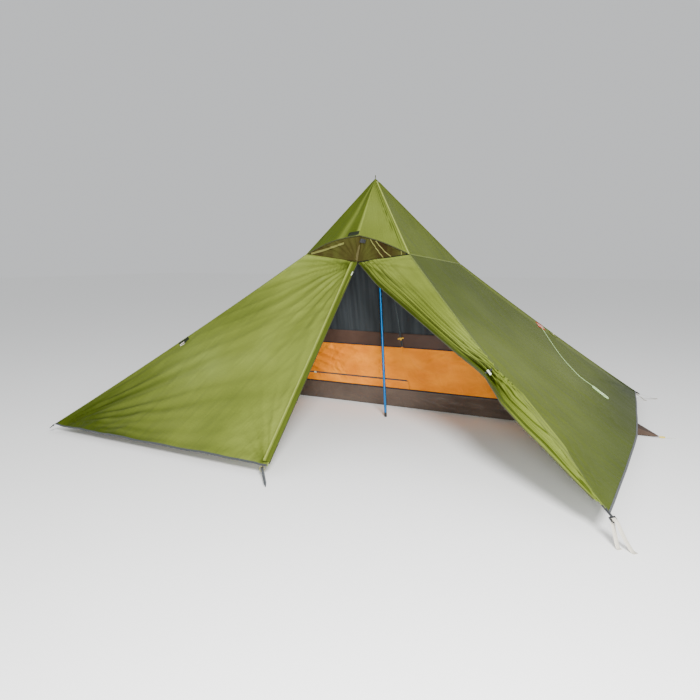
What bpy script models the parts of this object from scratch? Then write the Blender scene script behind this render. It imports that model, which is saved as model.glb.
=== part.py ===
# Single-pole pyramid tent: a fly sheet with a hooded vent and a tied-back door, a half inner
# tent with a bathtub floor, a sectional pole, corner straps, a guyline and a ground peg.
#
# Metres, +Z up, +Y to the back, +X to the right of someone facing the door.
# The origin is on the ground, plumb below the peak.

import math

import bmesh
import bpy
import numpy as np
from mathutils import Matrix, Vector

for old in list(bpy.data.objects):
    bpy.data.objects.remove(old, do_unlink=True)

# Fly sheet: overall
PEAK_HEIGHT = 1.597          # ground to the cap's point
FLY_HALF_WIDTH = 1.598       # centre line to a side corner
FLY_FRONT = 1.293            # centre line to the front hem
FLY_BACK = 1.309             # centre line to the back hem
HEM_HEIGHT_FRONT_LEFT = 0.054
HEM_HEIGHT_FRONT_RIGHT = 0.109
HEM_HEIGHT_BACK = 0.070
HEM_HEIGHT_MIDDLE = 0.080    # half-way along the sides and the back
HEM_BULGE = 0.055            # how far the middle of a side hem is pegged outwards
RIDGE_SAG = 0.015            # catenary dip of a ridge at its middle
PANEL_SAG = 0.018            # dish of a panel at its middle
FABRIC = 0.0010              # fly and inner fabric, drawn thick
SEAM_PULL = 0.0009           # each panel stops this far short of a ridge
SEAM_GAP = 0.0003            # between a panel and the cap

# Cap and vent hood
CAP_FRONT_HALF_WIDTH = 0.358
CAP_FRONT_DEPTH = 0.290
CAP_FRONT_HEIGHT = 1.105
CAP_BACK_HALF_WIDTH = 0.470
CAP_BACK_DEPTH = 0.385
CAP_BACK_HEIGHT = 1.040
CAP_HOLE_DROP = 0.010        # the hole in the point is this far below it
HOOD_PEAK_FORWARD = 0.222
HOOD_PEAK_HEIGHT = 1.222
HOOD_ARCH = 0.016            # rise of the brim above a straight line

# Door
DOOR_TOP_FORWARD = 0.244
DOOR_TOP_HEIGHT = 1.056
DOOR_FOOT_X = 0.030
DOOR_FOOT_FORWARD = 1.325
DOOR_FOOT_HEIGHT = 0.055
DOOR_TOP_X = -0.012
STORM_FLAP_WIDTH = 0.040
TRIM_GAP = 0.0005            # trim lies this far off the fabric
TRIM = 0.0010                # binding and storm flap thickness
BINDING_HEIGHT = 0.014
BINDING_SHORT = 0.012        # a hem's binding ends this far from its corners
ZIP_WIDTH = 0.006
ZIP_THICKNESS = 0.0025
ZIP_GAP = 0.0005             # between the panel's edge and the zip
ZIP_END = 0.020              # the chain stops this far from the door's ends
SLIDER_LENGTH = 0.016
SLIDER_WALL = 0.0020
SLIDER_GAP = 0.0005
SLIDER_LIP = 0.0015          # its open side starts this far over the chain
SLIDER_DOWN = 0.085          # from the door's top to the slider
PULL_LENGTH = 0.032
PULL_WIDTH = 0.006
PULL_THICKNESS = 0.0016

# Tied-back door flap
FLAP_PLEATS = 3.5
FLAP_PLEAT_HEIGHT = 0.012
FLAP_LIFT = 0.010            # its lower part lies this far off the right panel
FLAP_TIE_SHARE = 0.54        # where along the ridge the tie-back is
FLAP_END_SHARE = 0.965       # where it ends
FLAP_OVER = 0.085            # how far it lies over the right panel at most
FLAP_TOP_ASIDE = 0.0040      # its top corner is this far right of the zip's top
FLAP_TOP_GAP = 0.0008        # its top edge is this far below the vent's lower edge
FLAP_EDGE_DROOP = 0.045      # its free edge leaves the zip this far below the door's top
FLAP_DROOP_SHARE = 0.05      # share of the ridge in which it does so
FLAP_TIE_WIDTH = 0.062       # its width in front of the ridge, at the tie
FLAP_BULGE_WIDTH = 0.080     # and from there down
FLAP_MIDDLE_WIDTH = 0.066
FLAP_LOW_WIDTH = 0.046
FLAP_TOE_WIDTH = 0.010
FLAP_FLAT = 0.034            # its pleats grow to full height in this distance from the ridge
FLAP_TAIL_SHARE = 0.16       # share of the ridge over which it narrows to its end
FLAP_TURN_SHARE = 0.10       # and over which it folds on to the right panel below the tie
FLAP_RISE_SHARE = 0.07       # and over which it lifts off that panel above the tie
FLAP_SMOOTH_SHARE = 0.10     # share of the ridge in which the pleats grow
FLAP_SEAM_GAP = 0.00144      # its sewn edge in front of the ridge
FLAP_FULL_REACH = 0.050      # its pleats are lower where it is narrower than this
TOGGLE_RADIUS = 0.006
TOGGLE_LENGTH = 0.034
TOGGLE_SEAT = 0.0010         # its clearance from the cloth

# Vent brace
BRACE_WIDTH = 0.016
BRACE_THICKNESS = 0.002
BRACE_INSIDE = 0.0020        # behind the zip line
BRACE_BELOW = 0.004          # its foot below the door's top
BRACE_FROM_BRIM = 0.0035     # its head from the brim's peak

# Mesh screen across the vent
SCREEN_END = 0.70            # its ends, as a share of the way from the middle to a cap corner
SCREEN_GAP = 0.0006          # to the brim's binding above and the door's top below
SCREEN_HALF_COLUMNS = 5
SCREEN_SLANT = 0.88          # least slope of the brim's binding against the screen's rise
BRIM_BINDING = 0.0040        # height of the brim's binding
BRIM_THICKNESS = 0.0018
BRIM_FROM_END = 0.030        # the binding stops this far from the cap's corners

# Pole
POLE_FOOT_X = 0.089          # the pole stands a little to the right and leans in
POLE_RADIUS = 0.009
POLE_WALL = 0.0010
POLE_SECTIONS = 4
FERRULE_LENGTH = 0.070
FERRULE_WALL = 0.0010
POLE_FIT = 0.0003
POLE_TIP_RADIUS = 0.0042
POLE_TIP_LENGTH = 0.016
POLE_FOOT_LENGTH = 0.030
SHOCK_CORD_RADIUS = 0.0015
POLE_PLUG = 0.020            # how far the foot and the tip go into the tube
POLE_TOP_DROP = 0.0175       # the tip's end below the cap's point
CUP_TOP_DROP = 0.0125
CUP_HEIGHT = 0.014
CUP_TOP_RADIUS = 0.0042
CUP_FLARE = 0.42             # growth of the cup's radius for each metre down
CUP_ROOM = 0.0016            # round the pole's tip
CUP_WALL = 0.0012
APEX_LOOP_HEIGHT = 0.022
APEX_LOOP_WIDTH = 0.0042
APEX_LOOP_TAPE = 0.0012
APEX_LOOP_TURN = 35.0        # degrees from facing the door
APEX_LOOP_LEG = 0.00132      # its legs' distance from the middle, in the cap's hole
APEX_LOOP_EYE = 0.0045       # and where its eye is widest

# Inner tent
INNER_HALF_WIDTH = 1.500     # floor
INNER_FRONT = 0.300
INNER_TOP_FRONT = 0.020      # the front wall leans forward to here, behind the pole's top
INNER_BACK = 1.220
TUB_HEIGHT = 0.142
INNER_TUB_TOP_HALF_WIDTH = 1.460
INNER_TUB_TOP_BACK = 1.170
INNER_SHOULDER_HEIGHT = 1.020
INNER_SHOULDER_HALF_WIDTH = 0.340
INNER_SHOULDER_BACK = 0.330
INNER_TOP_HALF_WIDTH = 0.022
INNER_TOP_BACK = 0.062
ORANGE_TOP = 0.460
SILL_TOP = 0.210
ZIP_LINE_X = 0.170           # the upright zip at the ground
ZIP_LINE_LEAN = 0.105        # it goes left by this for each metre up
HINGE_FOOT_X = -1.300        # the inner door's seam, at the sill
HINGE_DOWN = 0.110           # that seam ends this far below the inner tent's top
HINGE_FROM_ZIP = 0.020       # and this far left of the upright zip
HINGE_FROM_EDGE = 0.0259125  # it passes the shoulder this far inside the left wall
SILL_FROM_SIDE = 0.101       # the sill starts this far from the side wall
TOP_STRAP_DOWN = 0.074       # its top end below the fly's peak
TOP_STRAP_HANG = 0.123       # and above the inner tent's top
INNER_TOP_HEIGHT = PEAK_HEIGHT - TOP_STRAP_DOWN - TOP_STRAP_HANG
INNER_FRONT_LEAN = (INNER_FRONT - INNER_TOP_FRONT) / INNER_TOP_HEIGHT
HINGE_TOP = INNER_TOP_HEIGHT - HINGE_DOWN
TOP_STRAP_BACK = 0.026       # how far back its top end is
TOP_STRAP_WIDTH = 0.012
TOP_STRAP_SEWN = 0.012       # how far it overlaps the inner tent
INNER_GAP = 0.0004
INNER_CORNER_GAP = 0.0006
INNER_ZIP = 0.005
INNER_ZIP_THICKNESS = 0.0018
INNER_ZIP_DOWN = 0.030       # its top end below the top of the door's seam
GUSSET_REACH = 0.275         # its tip beyond the floor's side
GUSSET_TIP_Y = 0.310
GUSSET_SIDE_Y = 0.620
GUSSET_HEIGHT = 0.100
GUSSET_BLUNT = 0.03          # share of its width left at the tip
GUSSET_GAP = 0.0012          # to the tub's wall, which leans in
INNER_SLIDER_HEIGHT = 0.520  # of the upright zip's slider above the ground
INNER_SLIDER_WIDTH = 0.012
INNER_SLIDER_LENGTH = 0.018
INNER_SLIDER_HIGH = 0.0040
INNER_TAB_REACH = 0.024      # its two cloth tabs, to either side
SILL_SLIDER_X = -0.620

# Corners
STRAP_WIDTH = 0.020
STRAP_THICKNESS = 0.0014
LOCK_WIDTH = 0.032
LOCK_LENGTH = 0.026
LOCK_BAR = 0.0040
LOCK_SIDE = 0.0045           # width of its side rails
LOCK_SLOT = 0.0065           # length of the slot next to the anchor's bar
LOCK_FAR_BAR = 0.0035
LOCK_OUT = 0.012             # its hinge bar beyond the fly's corner
LOCK_TILT = -6.0             # degrees it hangs below the ridge's line
LOCK_CHAMFER = 0.72          # width of its outer end, as a share of its width
ANCHOR_REACH = 0.045         # how far the anchor webbing lies up the ridge
ANCHOR_WIDTH = 0.014
ANCHOR_LIFT = 0.0011         # its middle above the ridge line
RUN_GAP = 0.0004             # round a bar that a loop turns on
STRAP_FAN = 0.016            # the strap and its tail lie this far to either side
STRAP_WRAP = 0.0052          # radius of the strap round the lock's middle bar
STRAP_REACH = {              # bar to the strap's end, and to the end of its free tail
    "front_right": (0.100, 0.052),
    "back_right": (0.190, 0.070),
    "back_left": (0.190, 0.070),
}
PEG_LENGTH = 0.160
PEG_LEG = 0.011
PEG_WALL = 0.0015
PEG_HEAD = 0.012             # behind the loop
PEG_SWING_ROOM = 0.0009      # round the peg in its loop
PEG_SLOPE_ROOM = 0.0008      # for its slope, under the loop's top
PEG_HEADING = Vector((0.66, -0.75, 0.0))
LOOP_RADIUS = 0.0135
LOOP_WIDTH = 0.008
LOOP_FROM_ZIP = 0.030        # the loop is this far left of the zip's end

# Guying
GUY_ALONG = 0.500            # ridge patches, from the cap's seam (0) to the hem (1)
PATCH_LENGTH = 0.070
PATCH_LEG = 0.028
PATCH_LIFT = 0.0008
CORD_DIAMETER = 0.0030
CORD_END_GAP = 0.0006        # between the guyline's two nodes, end to end
HANK_LOOPS = 6
HANK_HALF_LENGTH = 0.052
HANK_HALF_WIDTH = 0.0085
HANK_STEP = 0.0038
HANK_LAYERS = 2
HANK_CLIMB = 0.22            # share of a loop in which the line climbs to the next layer
HANK_WAIST = 0.0030          # how far the loops are drawn in
HANK_WAIST_REACH = 0.016
HANK_POINTS = 24             # along each loop
CORD_LIFT = 0.0021           # cord centre above the fabric

GUYLINE_ROUTE = (            # (x, y) of places on the right panel, from the ridge patch down
    (0.972, 0.730),
    (1.010, 0.680),
    (1.060, 0.605),
    (1.120, 0.515),
    (1.180, 0.440),
    (1.240, 0.388),
    (1.290, 0.355),
)
HANK_CENTRE = (1.415, 0.345) # (x, y) of its middle on the right panel
HANK_HEADING = (1.0, 0.02)   # its long direction in plan
HANK_LIFT = 0.0036           # its first layer's centre above the panel
CORNER_CORD_ROUTE = (        # from the tie-out toggle to the cord's end on the ground
    (1.8010, 0.3133, 0.0066),
    (1.8160, 0.3150, 0.0060),
    (1.8320, 0.3200, 0.0035),
    (1.8480, 0.3290, 0.0018),
    (1.8620, 0.3340, 0.0018),
    (1.8760, 0.3350, 0.0018),
)
CORNER_CORD_DIAMETER = 0.0025


def material(name, colour, roughness, metallic=0.0):
    """A Principled material."""
    made = bpy.data.materials.new(name)
    made.use_nodes = True
    shader = made.node_tree.nodes["Principled BSDF"]
    shader.inputs["Base Color"].default_value = (*colour, 1.0)
    shader.inputs["Roughness"].default_value = roughness
    shader.inputs["Metallic"].default_value = metallic
    return made


GREEN = material("silicone_nylon_green", (0.24, 0.31, 0.08), 0.45)
GREY_TAPE = material("grey_binding", (0.19, 0.20, 0.21), 0.70)
BLACK = material("black_acetal", (0.015, 0.015, 0.016), 0.40)
ZIP_BLACK = material("zip_chain", (0.05, 0.06, 0.03), 0.55)
ORANGE = material("ripstop_orange", (0.78, 0.30, 0.05), 0.60)
BROWN = material("coated_floor_brown", (0.045, 0.032, 0.027), 0.38)
MESH = material("mosquito_mesh", (0.030, 0.036, 0.042), 0.80)
BLUE = material("anodised_blue", (0.02, 0.19, 0.52), 0.28, 0.9)
ALUMINIUM = material("bare_aluminium", (0.60, 0.60, 0.62), 0.35, 1.0)
WEBBING = material("off_white_webbing", (0.80, 0.79, 0.72), 0.85)
YELLOW = material("yellow_cord", (0.75, 0.60, 0.08), 0.80)
CORD = material("green_white_cord", (0.50, 0.66, 0.42), 0.85)
PATCH = material("reinforcement_patch", (0.70, 0.10, 0.08), 0.75)
WHITE = material("white_cord", (0.78, 0.80, 0.76), 0.80)


def unit(vector):
    return vector.normalized()


def lerp(a, b, share):
    return a + (b - a) * share


def body(name, points, faces, finish, smooth=False):
    """One object from points in world space, its faces turned outwards."""
    mesh = bpy.data.meshes.new(name)
    bm = bmesh.new()
    made = [bm.verts.new(p) for p in points]
    for face in faces:
        bm.faces.new([made[i] for i in face])
    bmesh.ops.recalc_face_normals(bm, faces=bm.faces)
    bm.to_mesh(mesh)
    bm.free()
    mesh.materials.append(finish)
    if smooth:
        mesh.shade_smooth()
        mesh.set_sharp_from_angle(angle=math.radians(40))
    obj = bpy.data.objects.new(name, mesh)
    bpy.context.collection.objects.link(obj)
    return obj


def thick_sheet(name, outer, inner, finish, closed=False):
    """A cloth body between two grids of points, open or closed round its columns."""
    rows = len(outer)
    cols = len(outer[0])
    points = [p for row in outer for p in row] + [p for row in inner for p in row]
    back = rows * cols
    faces = []
    spans = cols if closed else cols - 1
    for r in range(rows - 1):
        for c in range(spans):
            a = r * cols + c
            b = r * cols + (c + 1) % cols
            faces.append((a, b, b + cols, a + cols))
            faces.append((back + a, back + a + cols, back + b + cols, back + b))
    for c in range(spans):
        b = (c + 1) % cols
        low = (rows - 1) * cols
        faces.append((c, back + c, back + b, b))
        faces.append((low + c, low + b, back + low + b, back + low + c))
    if not closed:
        for r in range(rows - 1):
            a = r * cols
            z = a + cols - 1
            faces.append((a, a + cols, back + a + cols, back + a))
            faces.append((z, back + z, back + z + cols, z + cols))
    return body(name, points, faces, finish, smooth=True)


def grid_normals(grid, outward):
    """A unit normal at every point of a grid, on the side of the outward hint."""
    rows = len(grid)
    cols = len(grid[0])
    found = []
    for r in range(rows):
        line = []
        for c in range(cols):
            down = grid[min(r + 1, rows - 1)][c] - grid[max(r - 1, 0)][c]
            along = grid[r][min(c + 1, cols - 1)] - grid[r][max(c - 1, 0)]
            normal = unit(down.cross(along))
            if normal.dot(outward) < 0:
                normal = -normal
            line.append(normal)
        found.append(line)
    return found


def cloth(name, grid, outward, finish, thickness=FABRIC, lift=0.0):
    """A cloth panel whose outer face is the grid, lifted off by a clearance."""
    normals = grid_normals(grid, outward)
    outer = [[p + n * (lift + (thickness if lift else 0.0)) for p, n in zip(row, line)]
             for row, line in zip(grid, normals)]
    inner = [[p - n * thickness for p, n in zip(row, line)]
             for row, line in zip(outer, normals)]
    return thick_sheet(name, outer, inner, finish)


def sweep(name, sections, finish, closed=False, smooth=False):
    """A body through matching closed outlines, capped at its ends."""
    size = len(sections[0])
    count = len(sections)
    points = [p for section in sections for p in section]
    faces = []
    for k in range(count if closed else count - 1):
        here = k * size
        there = (k + 1) % count * size
        for i in range(size):
            j = (i + 1) % size
            faces.append((here + i, here + j, there + j, there + i))
    if not closed:
        faces.append(tuple(range(size)))
        faces.append(tuple(range((count - 1) * size, count * size)))
    return body(name, points, faces, finish, smooth)


def frame_at(origin, along, up):
    """A placement with Y along a direction and Z as near as can be to up."""
    y = unit(along)
    x = unit(y.cross(up))
    z = x.cross(y)
    made = Matrix((x, y, z)).transposed().to_4x4()
    made.translation = origin
    return made


def ribbon(name, place, path, width, thickness, finish):
    """A strip that follows a path in a placement's YZ plane, its width along X."""
    flat = [Vector((0.0, y, z)) for y, z in path]
    sections = []
    for i, point in enumerate(flat):
        before = unit(point - flat[i - 1]) if i else None
        after = unit(flat[i + 1] - point) if i + 1 < len(flat) else None
        one = before or after
        two = after or before
        side = Vector((0.0, -(one.z + two.z), one.y + two.y))
        side = unit(side) * (thickness / 2.0) / max(0.35, math.sqrt((1.0 + one.dot(two)) / 2.0))
        half = Vector((width / 2.0, 0.0, 0.0))
        corners = (point + side - half, point + side + half, point - side + half, point - side - half)
        sections.append([place @ p for p in corners])
    return sweep(name, sections, finish)


def arc(centre, radius, start, stop, steps):
    """Points of an arc in a plane, angles in degrees."""
    found = []
    for k in range(steps + 1):
        angle = math.radians(lerp(start, stop, k / steps))
        found.append((centre[0] + radius * math.cos(angle), centre[1] + radius * math.sin(angle)))
    return found


def turned(name, profile, place, finish, steps=16):
    """A ring-shaped body: a closed (radius, height) outline spun about a placement's Z."""
    bm = bmesh.new()
    ring = [bm.verts.new((r, 0.0, z)) for r, z in profile]
    edges = [bm.edges.new((ring[i], ring[(i + 1) % len(ring)])) for i in range(len(ring))]
    bmesh.ops.spin(bm, geom=ring + edges, cent=(0, 0, 0), axis=(0, 0, 1),
                   angle=2.0 * math.pi, steps=steps, use_merge=True)
    bmesh.ops.remove_doubles(bm, verts=bm.verts, dist=0.00001)
    bmesh.ops.recalc_face_normals(bm, faces=bm.faces)
    mesh = bpy.data.meshes.new(name)
    bm.to_mesh(mesh)
    bm.free()
    mesh.materials.append(finish)
    mesh.shade_smooth()
    mesh.set_sharp_from_angle(angle=math.radians(40))
    obj = bpy.data.objects.new(name, mesh)
    obj.matrix_world = place
    bpy.context.collection.objects.link(obj)
    return obj


def ring_at(place, radius, height):
    """Sixteen points of a circle about a placement's Z."""
    ring = []
    for n in range(16):
        angle = 2.0 * math.pi * n / 16
        ring.append(place @ Vector((radius * math.cos(angle), radius * math.sin(angle), height)))
    return ring


def lathed(name, profile, place, finish, steps=16):
    """A solid turned body: (radius, height) pairs from the bottom to the top, closed on the axis."""
    sections = []
    for radius, height in profile:
        ring = []
        for k in range(steps):
            angle = 2.0 * math.pi * k / steps
            ring.append(place @ Vector((radius * math.cos(angle), radius * math.sin(angle), height)))
        sections.append(ring)
    return sweep(name, sections, finish, smooth=True)


def block(name, place, low, high, finish):
    """A box in a placement's own axes."""
    xs, ys, zs = zip(low, high)
    outline = ((xs[0], zs[0]), (xs[1], zs[0]), (xs[1], zs[1]), (xs[0], zs[1]))
    sections = [[place @ Vector((x, y, z)) for x, z in outline] for y in ys]
    return sweep(name, sections, finish)


def cut(target, cutters):
    """Subtract hidden cutters from a body."""
    for number, tool in enumerate(cutters):
        tool.hide_render = True
        tool.display_type = "WIRE"
        step = target.modifiers.new("cut_%d" % number, "BOOLEAN")
        step.operation = "DIFFERENCE"
        step.solver = "EXACT"
        step.object = tool


def cord(name, route, diameter, finish, resolution=2):
    """A poly tube with filled caps along a list of points."""
    curve = bpy.data.curves.new(name, "CURVE")
    curve.dimensions = "3D"
    curve.bevel_depth = diameter / 2.0
    curve.bevel_resolution = resolution
    curve.use_fill_caps = True
    line = curve.splines.new("POLY")
    line.points.add(len(route) - 1)
    for point, place in zip(line.points, route):
        point.co = (*place, 1.0)
    curve.materials.append(finish)
    obj = bpy.data.objects.new(name, curve)
    bpy.context.collection.objects.link(obj)
    return obj


def smooth_route(points, spacing):
    """Evenly spaced points of a smooth curve through the given ones."""
    places = [Vector(p) for p in points]
    padded = [places[0] * 2 - places[1]] + places + [places[-1] * 2 - places[-2]]
    fine = []
    for i in range(1, len(padded) - 2):
        a, b, c, d = padded[i - 1:i + 3]
        for k in range(16):
            t = k / 16.0
            fine.append(0.5 * (2 * b + (c - a) * t + (2 * a - 5 * b + 4 * c - d) * t * t
                               + (3 * b - a - 3 * c + d) * t ** 3))
    fine.append(places[-1])
    length = sum((fine[i + 1] - fine[i]).length for i in range(len(fine) - 1))
    count = max(2, round(length / spacing))
    found = [fine[0]]
    walked = 0.0
    wanted = length / count
    for i in range(len(fine) - 1):
        step = (fine[i + 1] - fine[i]).length
        while walked + step >= wanted * len(found) - 1e-9 and len(found) < count:
            found.append(lerp(fine[i], fine[i + 1], (wanted * len(found) - walked) / step))
        walked += step
    return found + [fine[-1]]


# The fly's main points
PEAK = Vector((0.0, 0.0, PEAK_HEIGHT))
CAP_FL = Vector((-CAP_FRONT_HALF_WIDTH, -CAP_FRONT_DEPTH, CAP_FRONT_HEIGHT))
CAP_FR = Vector((CAP_FRONT_HALF_WIDTH, -CAP_FRONT_DEPTH, CAP_FRONT_HEIGHT))
CAP_BR = Vector((CAP_BACK_HALF_WIDTH, CAP_BACK_DEPTH, CAP_BACK_HEIGHT))
CAP_BL = Vector((-CAP_BACK_HALF_WIDTH, CAP_BACK_DEPTH, CAP_BACK_HEIGHT))
CORNER_FL = Vector((-FLY_HALF_WIDTH, -FLY_FRONT, HEM_HEIGHT_FRONT_LEFT))
CORNER_FR = Vector((FLY_HALF_WIDTH, -FLY_FRONT, HEM_HEIGHT_FRONT_RIGHT))
CORNER_BR = Vector((FLY_HALF_WIDTH, FLY_BACK, HEM_HEIGHT_BACK))
CORNER_BL = Vector((-FLY_HALF_WIDTH, FLY_BACK, HEM_HEIGHT_BACK))
HOOD_PEAK = Vector((0.0, -HOOD_PEAK_FORWARD, HOOD_PEAK_HEIGHT))
DOOR_TOP = Vector((DOOR_TOP_X, -DOOR_TOP_FORWARD, DOOR_TOP_HEIGHT))
DOOR_FOOT = Vector((DOOR_FOOT_X, -DOOR_FOOT_FORWARD, DOOR_FOOT_HEIGHT))


def ridge(top, corner, t):
    """A point on a ridge, from the cap's seam (0) to the corner (1)."""
    point = lerp(top, corner, t)
    return point - Vector((0.0, 0.0, RIDGE_SAG * 4.0 * t * (1.0 - t)))


def side_point(top_a, corner_a, top_b, corner_b, s, t, out):
    """A point on a side or back panel, s across it and t down it."""
    a = ridge(top_a, corner_a, t)
    b = ridge(top_b, corner_b, t)
    point = lerp(a, b, s)
    middle = 1.0 - abs(2.0 * s - 1.0)
    point = point + out * (HEM_BULGE * middle * t ** 3)
    rest = lerp(corner_a, corner_b, s).z
    point.z += (HEM_HEIGHT_MIDDLE - rest) * middle * t ** 3
    sag = PANEL_SAG * math.sin(math.pi * s) * math.sin(math.pi * t)
    return point - out * (sag * 0.65) - Vector((0.0, 0.0, sag * 0.75))


ROWS = 10
COLS = 8


def side_panel(name, top_a, corner_a, top_b, corner_b, outwards, binding_name):
    """A side or back panel of the fly with its hem binding."""
    grid = []
    for r in range(ROWS + 1):
        t = r / ROWS
        width = (ridge(top_a, corner_a, t) - ridge(top_b, corner_b, t)).length
        pull = SEAM_PULL / width
        row = []
        for c in range(COLS + 1):
            s = lerp(pull, 1.0 - pull, c / COLS)
            row.append(side_point(top_a, corner_a, top_b, corner_b, s, t, outwards))
        grid.append(row)
    down = [unit(grid[1][c] - grid[0][c]) for c in range(COLS + 1)]
    grid[0] = [p + d * SEAM_GAP for p, d in zip(grid[0], down)]
    hint = outwards + Vector((0.0, 0.0, 0.8))
    cloth(name, grid, hint, GREEN)
    binding(binding_name, grid, hint)
    return grid


def binding(name, grid, outward):
    """A folded tape that wraps the bottom edge of a panel."""
    normals = grid_normals(grid, outward)
    hem = grid[-1]
    above = grid[-2]
    last = len(hem) - 1
    sections = []
    for c in range(last + 1):
        up = unit(above[c] - hem[c])
        normal = normals[-1][c]
        along = hem[min(c + 1, last)] - hem[max(c - 1, 0)]
        shift = Vector((0.0, 0.0, 0.0))
        if c == 0:
            shift = unit(along) * BINDING_SHORT
        if c == last:
            shift = -unit(along) * BINDING_SHORT
        top = BINDING_HEIGHT
        gap = TRIM_GAP
        wide = TRIM_GAP + TRIM
        low = -FABRIC - gap
        lower = -FABRIC - wide
        outline = ((wide, top), (wide, -wide), (lower, -wide), (lower, top),
                   (low, top), (low, -gap), (gap, -gap), (gap, top))
        sections.append([hem[c] + shift + normal * n + up * u for n, u in outline])
    return sweep(name, sections, GREY_TAPE)


def cap_outline():
    """The cap's lower edge, clockwise from above, starting at the front right."""
    left = lerp(CAP_FL, HOOD_PEAK, 0.5) + Vector((0.0, 0.0, HOOD_ARCH))
    right = lerp(CAP_FR, HOOD_PEAK, 0.5) + Vector((0.0, 0.0, HOOD_ARCH))
    near_left = lerp(left, HOOD_PEAK, 0.75) + Vector((0.0, 0.0, HOOD_ARCH * 0.4))
    return [CAP_FR, CAP_BR, CAP_BL, CAP_FL, left, near_left, HOOD_PEAK, right]


CAP_ROWS = 8


def fly_cap():
    """The steep top of the fly, whose front edge is the raised brim of the vent hood."""
    base = cap_outline()
    count = len(base)
    facets = []
    for i in range(count):
        normal = unit((base[i] - PEAK).cross(base[(i + 1) % count] - PEAK))
        middle = base[i] + base[(i + 1) % count]
        if normal.dot(Vector((middle.x, middle.y, 0.0))) < 0:
            normal = -normal
        facets.append(normal)
    outer = []
    inner = []
    first = CAP_HOLE_DROP / (PEAK_HEIGHT - CAP_FRONT_HEIGHT)
    for r in range(CAP_ROWS + 1):
        t = first + (1.0 - first) * (r / CAP_ROWS) ** 1.5
        line = []
        under = []
        for i in range(count):
            slant = (base[i] - PEAK).length
            share = min(t, 1.0 - SEAM_GAP / slant)
            point = lerp(PEAK, base[i], share)
            one = facets[i - 1]
            two = facets[i]
            mitre = (one + two) / (1.0 + one.dot(two))
            line.append(point)
            under.append(point - mitre * FABRIC)
        outer.append(line)
        inner.append(under)
    thick_sheet("fly_cap", outer, inner, GREEN, closed=True)
    brim_binding(outer[-1], inner[-1], facets)


def brim_binding(edge, under, facets):
    """A bound edge round the front of the hood, just under its rim."""
    sections = []
    chain = range(3, 9)
    for k in chain:
        i = k % len(edge)
        one = facets[i - 1]
        two = facets[i]
        if k == chain[0]:
            one = two
        if k == chain[-1]:
            two = one
        normal = (one + two) / (1.0 + one.dot(two))
        ahead = edge[(i + 1) % len(edge)] if k != chain[-1] else edge[i]
        behind = edge[i - 1] if k != chain[0] else edge[i]
        along = unit(ahead - behind)
        down = unit(edge[i] - PEAK)
        down = unit(down - along * down.dot(along))
        shift = Vector((0.0, 0.0, 0.0))
        if k == chain[0]:
            shift = along * BRIM_FROM_END
        if k == chain[-1]:
            shift = -along * BRIM_FROM_END
        rim = edge[i] + shift + down * TRIM_GAP
        outline = ((0.0, 0.0), (0.0, BRIM_BINDING), (-BRIM_THICKNESS, BRIM_BINDING),
                   (-BRIM_THICKNESS, 0.0))
        sections.append([rim + normal * n + down * u for n, u in outline])
    sweep("brim_binding", sections, GREY_TAPE)


def vent_screen():
    """The mesh sewn across the vent, from just under the brim to the top of the door."""
    top_line = cap_outline()[3:] + [CAP_FR]
    xs = [p.x for p in top_line]
    columns = []
    for k in range(-SCREEN_HALF_COLUMNS, SCREEN_HALF_COLUMNS + 1):
        x = k / SCREEN_HALF_COLUMNS * SCREEN_END * CAP_FRONT_HALF_WIDTH
        i = max(n for n in range(len(xs) - 1) if xs[n] <= x)
        upper = lerp(top_line[i], top_line[i + 1], (x - xs[i]) / (xs[i + 1] - xs[i]))
        end = CAP_FL if x < DOOR_TOP_X else CAP_FR
        lower = lerp(DOOR_TOP, end, (x - DOOR_TOP_X) / (end.x - DOOR_TOP_X))
        rise = unit(upper - lower)
        top = upper - rise * ((TRIM_GAP + BRIM_BINDING + SCREEN_GAP) / SCREEN_SLANT)
        columns.append([top, lower + rise * SCREEN_GAP])
    grid = [[column[r] for column in columns] for r in (0, 1)]
    cloth("vent_screen", grid, FRONT, MESH, thickness=TRIM)


def door_edge(t):
    """A point on the straight zip edge of the door."""
    return lerp(DOOR_TOP, DOOR_FOOT, t)


def door_panel_grid():
    """The closed front-left panel: ridge on the left, zip on the right."""
    grid = []
    for r in range(ROWS + 1):
        t = r / ROWS
        a = ridge(CAP_FL, CORNER_FL, t)
        b = door_edge(t)
        width = (b - a).length
        pull = SEAM_PULL / width
        strip = 1.0 - STORM_FLAP_WIDTH / width
        row = []
        for c in range(COLS + 1):
            s = lerp(pull, strip, c / COLS)
            sag = PANEL_SAG * math.sin(math.pi * s) * math.sin(math.pi * t)
            row.append(lerp(a, b, s) + Vector((0.0, sag * 0.7, -sag * 0.7)))
        row.append(b)
        grid.append(row)
    return grid


FRONT = Vector((0.0, -0.70, 0.71))


def door_panel():
    """The closed half of the door, its storm flap, hem binding and zip."""
    grid = door_panel_grid()
    cloth("fly_door_panel", grid, FRONT, GREEN)
    binding("hem_binding_front", grid, FRONT)
    strip = [[row[-2], row[-1]] for row in grid]
    fall = [unit(strip[-1][k] - strip[0][k]) for k in (0, 1)]
    strip[0] = [strip[0][k] + fall[k] * ZIP_END for k in (0, 1)]
    strip[-1] = [strip[-1][k] - fall[k] * ZIP_END for k in (0, 1)]
    cloth("storm_flap", strip, FRONT, GREEN, thickness=TRIM, lift=TRIM_GAP)
    return grid


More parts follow.
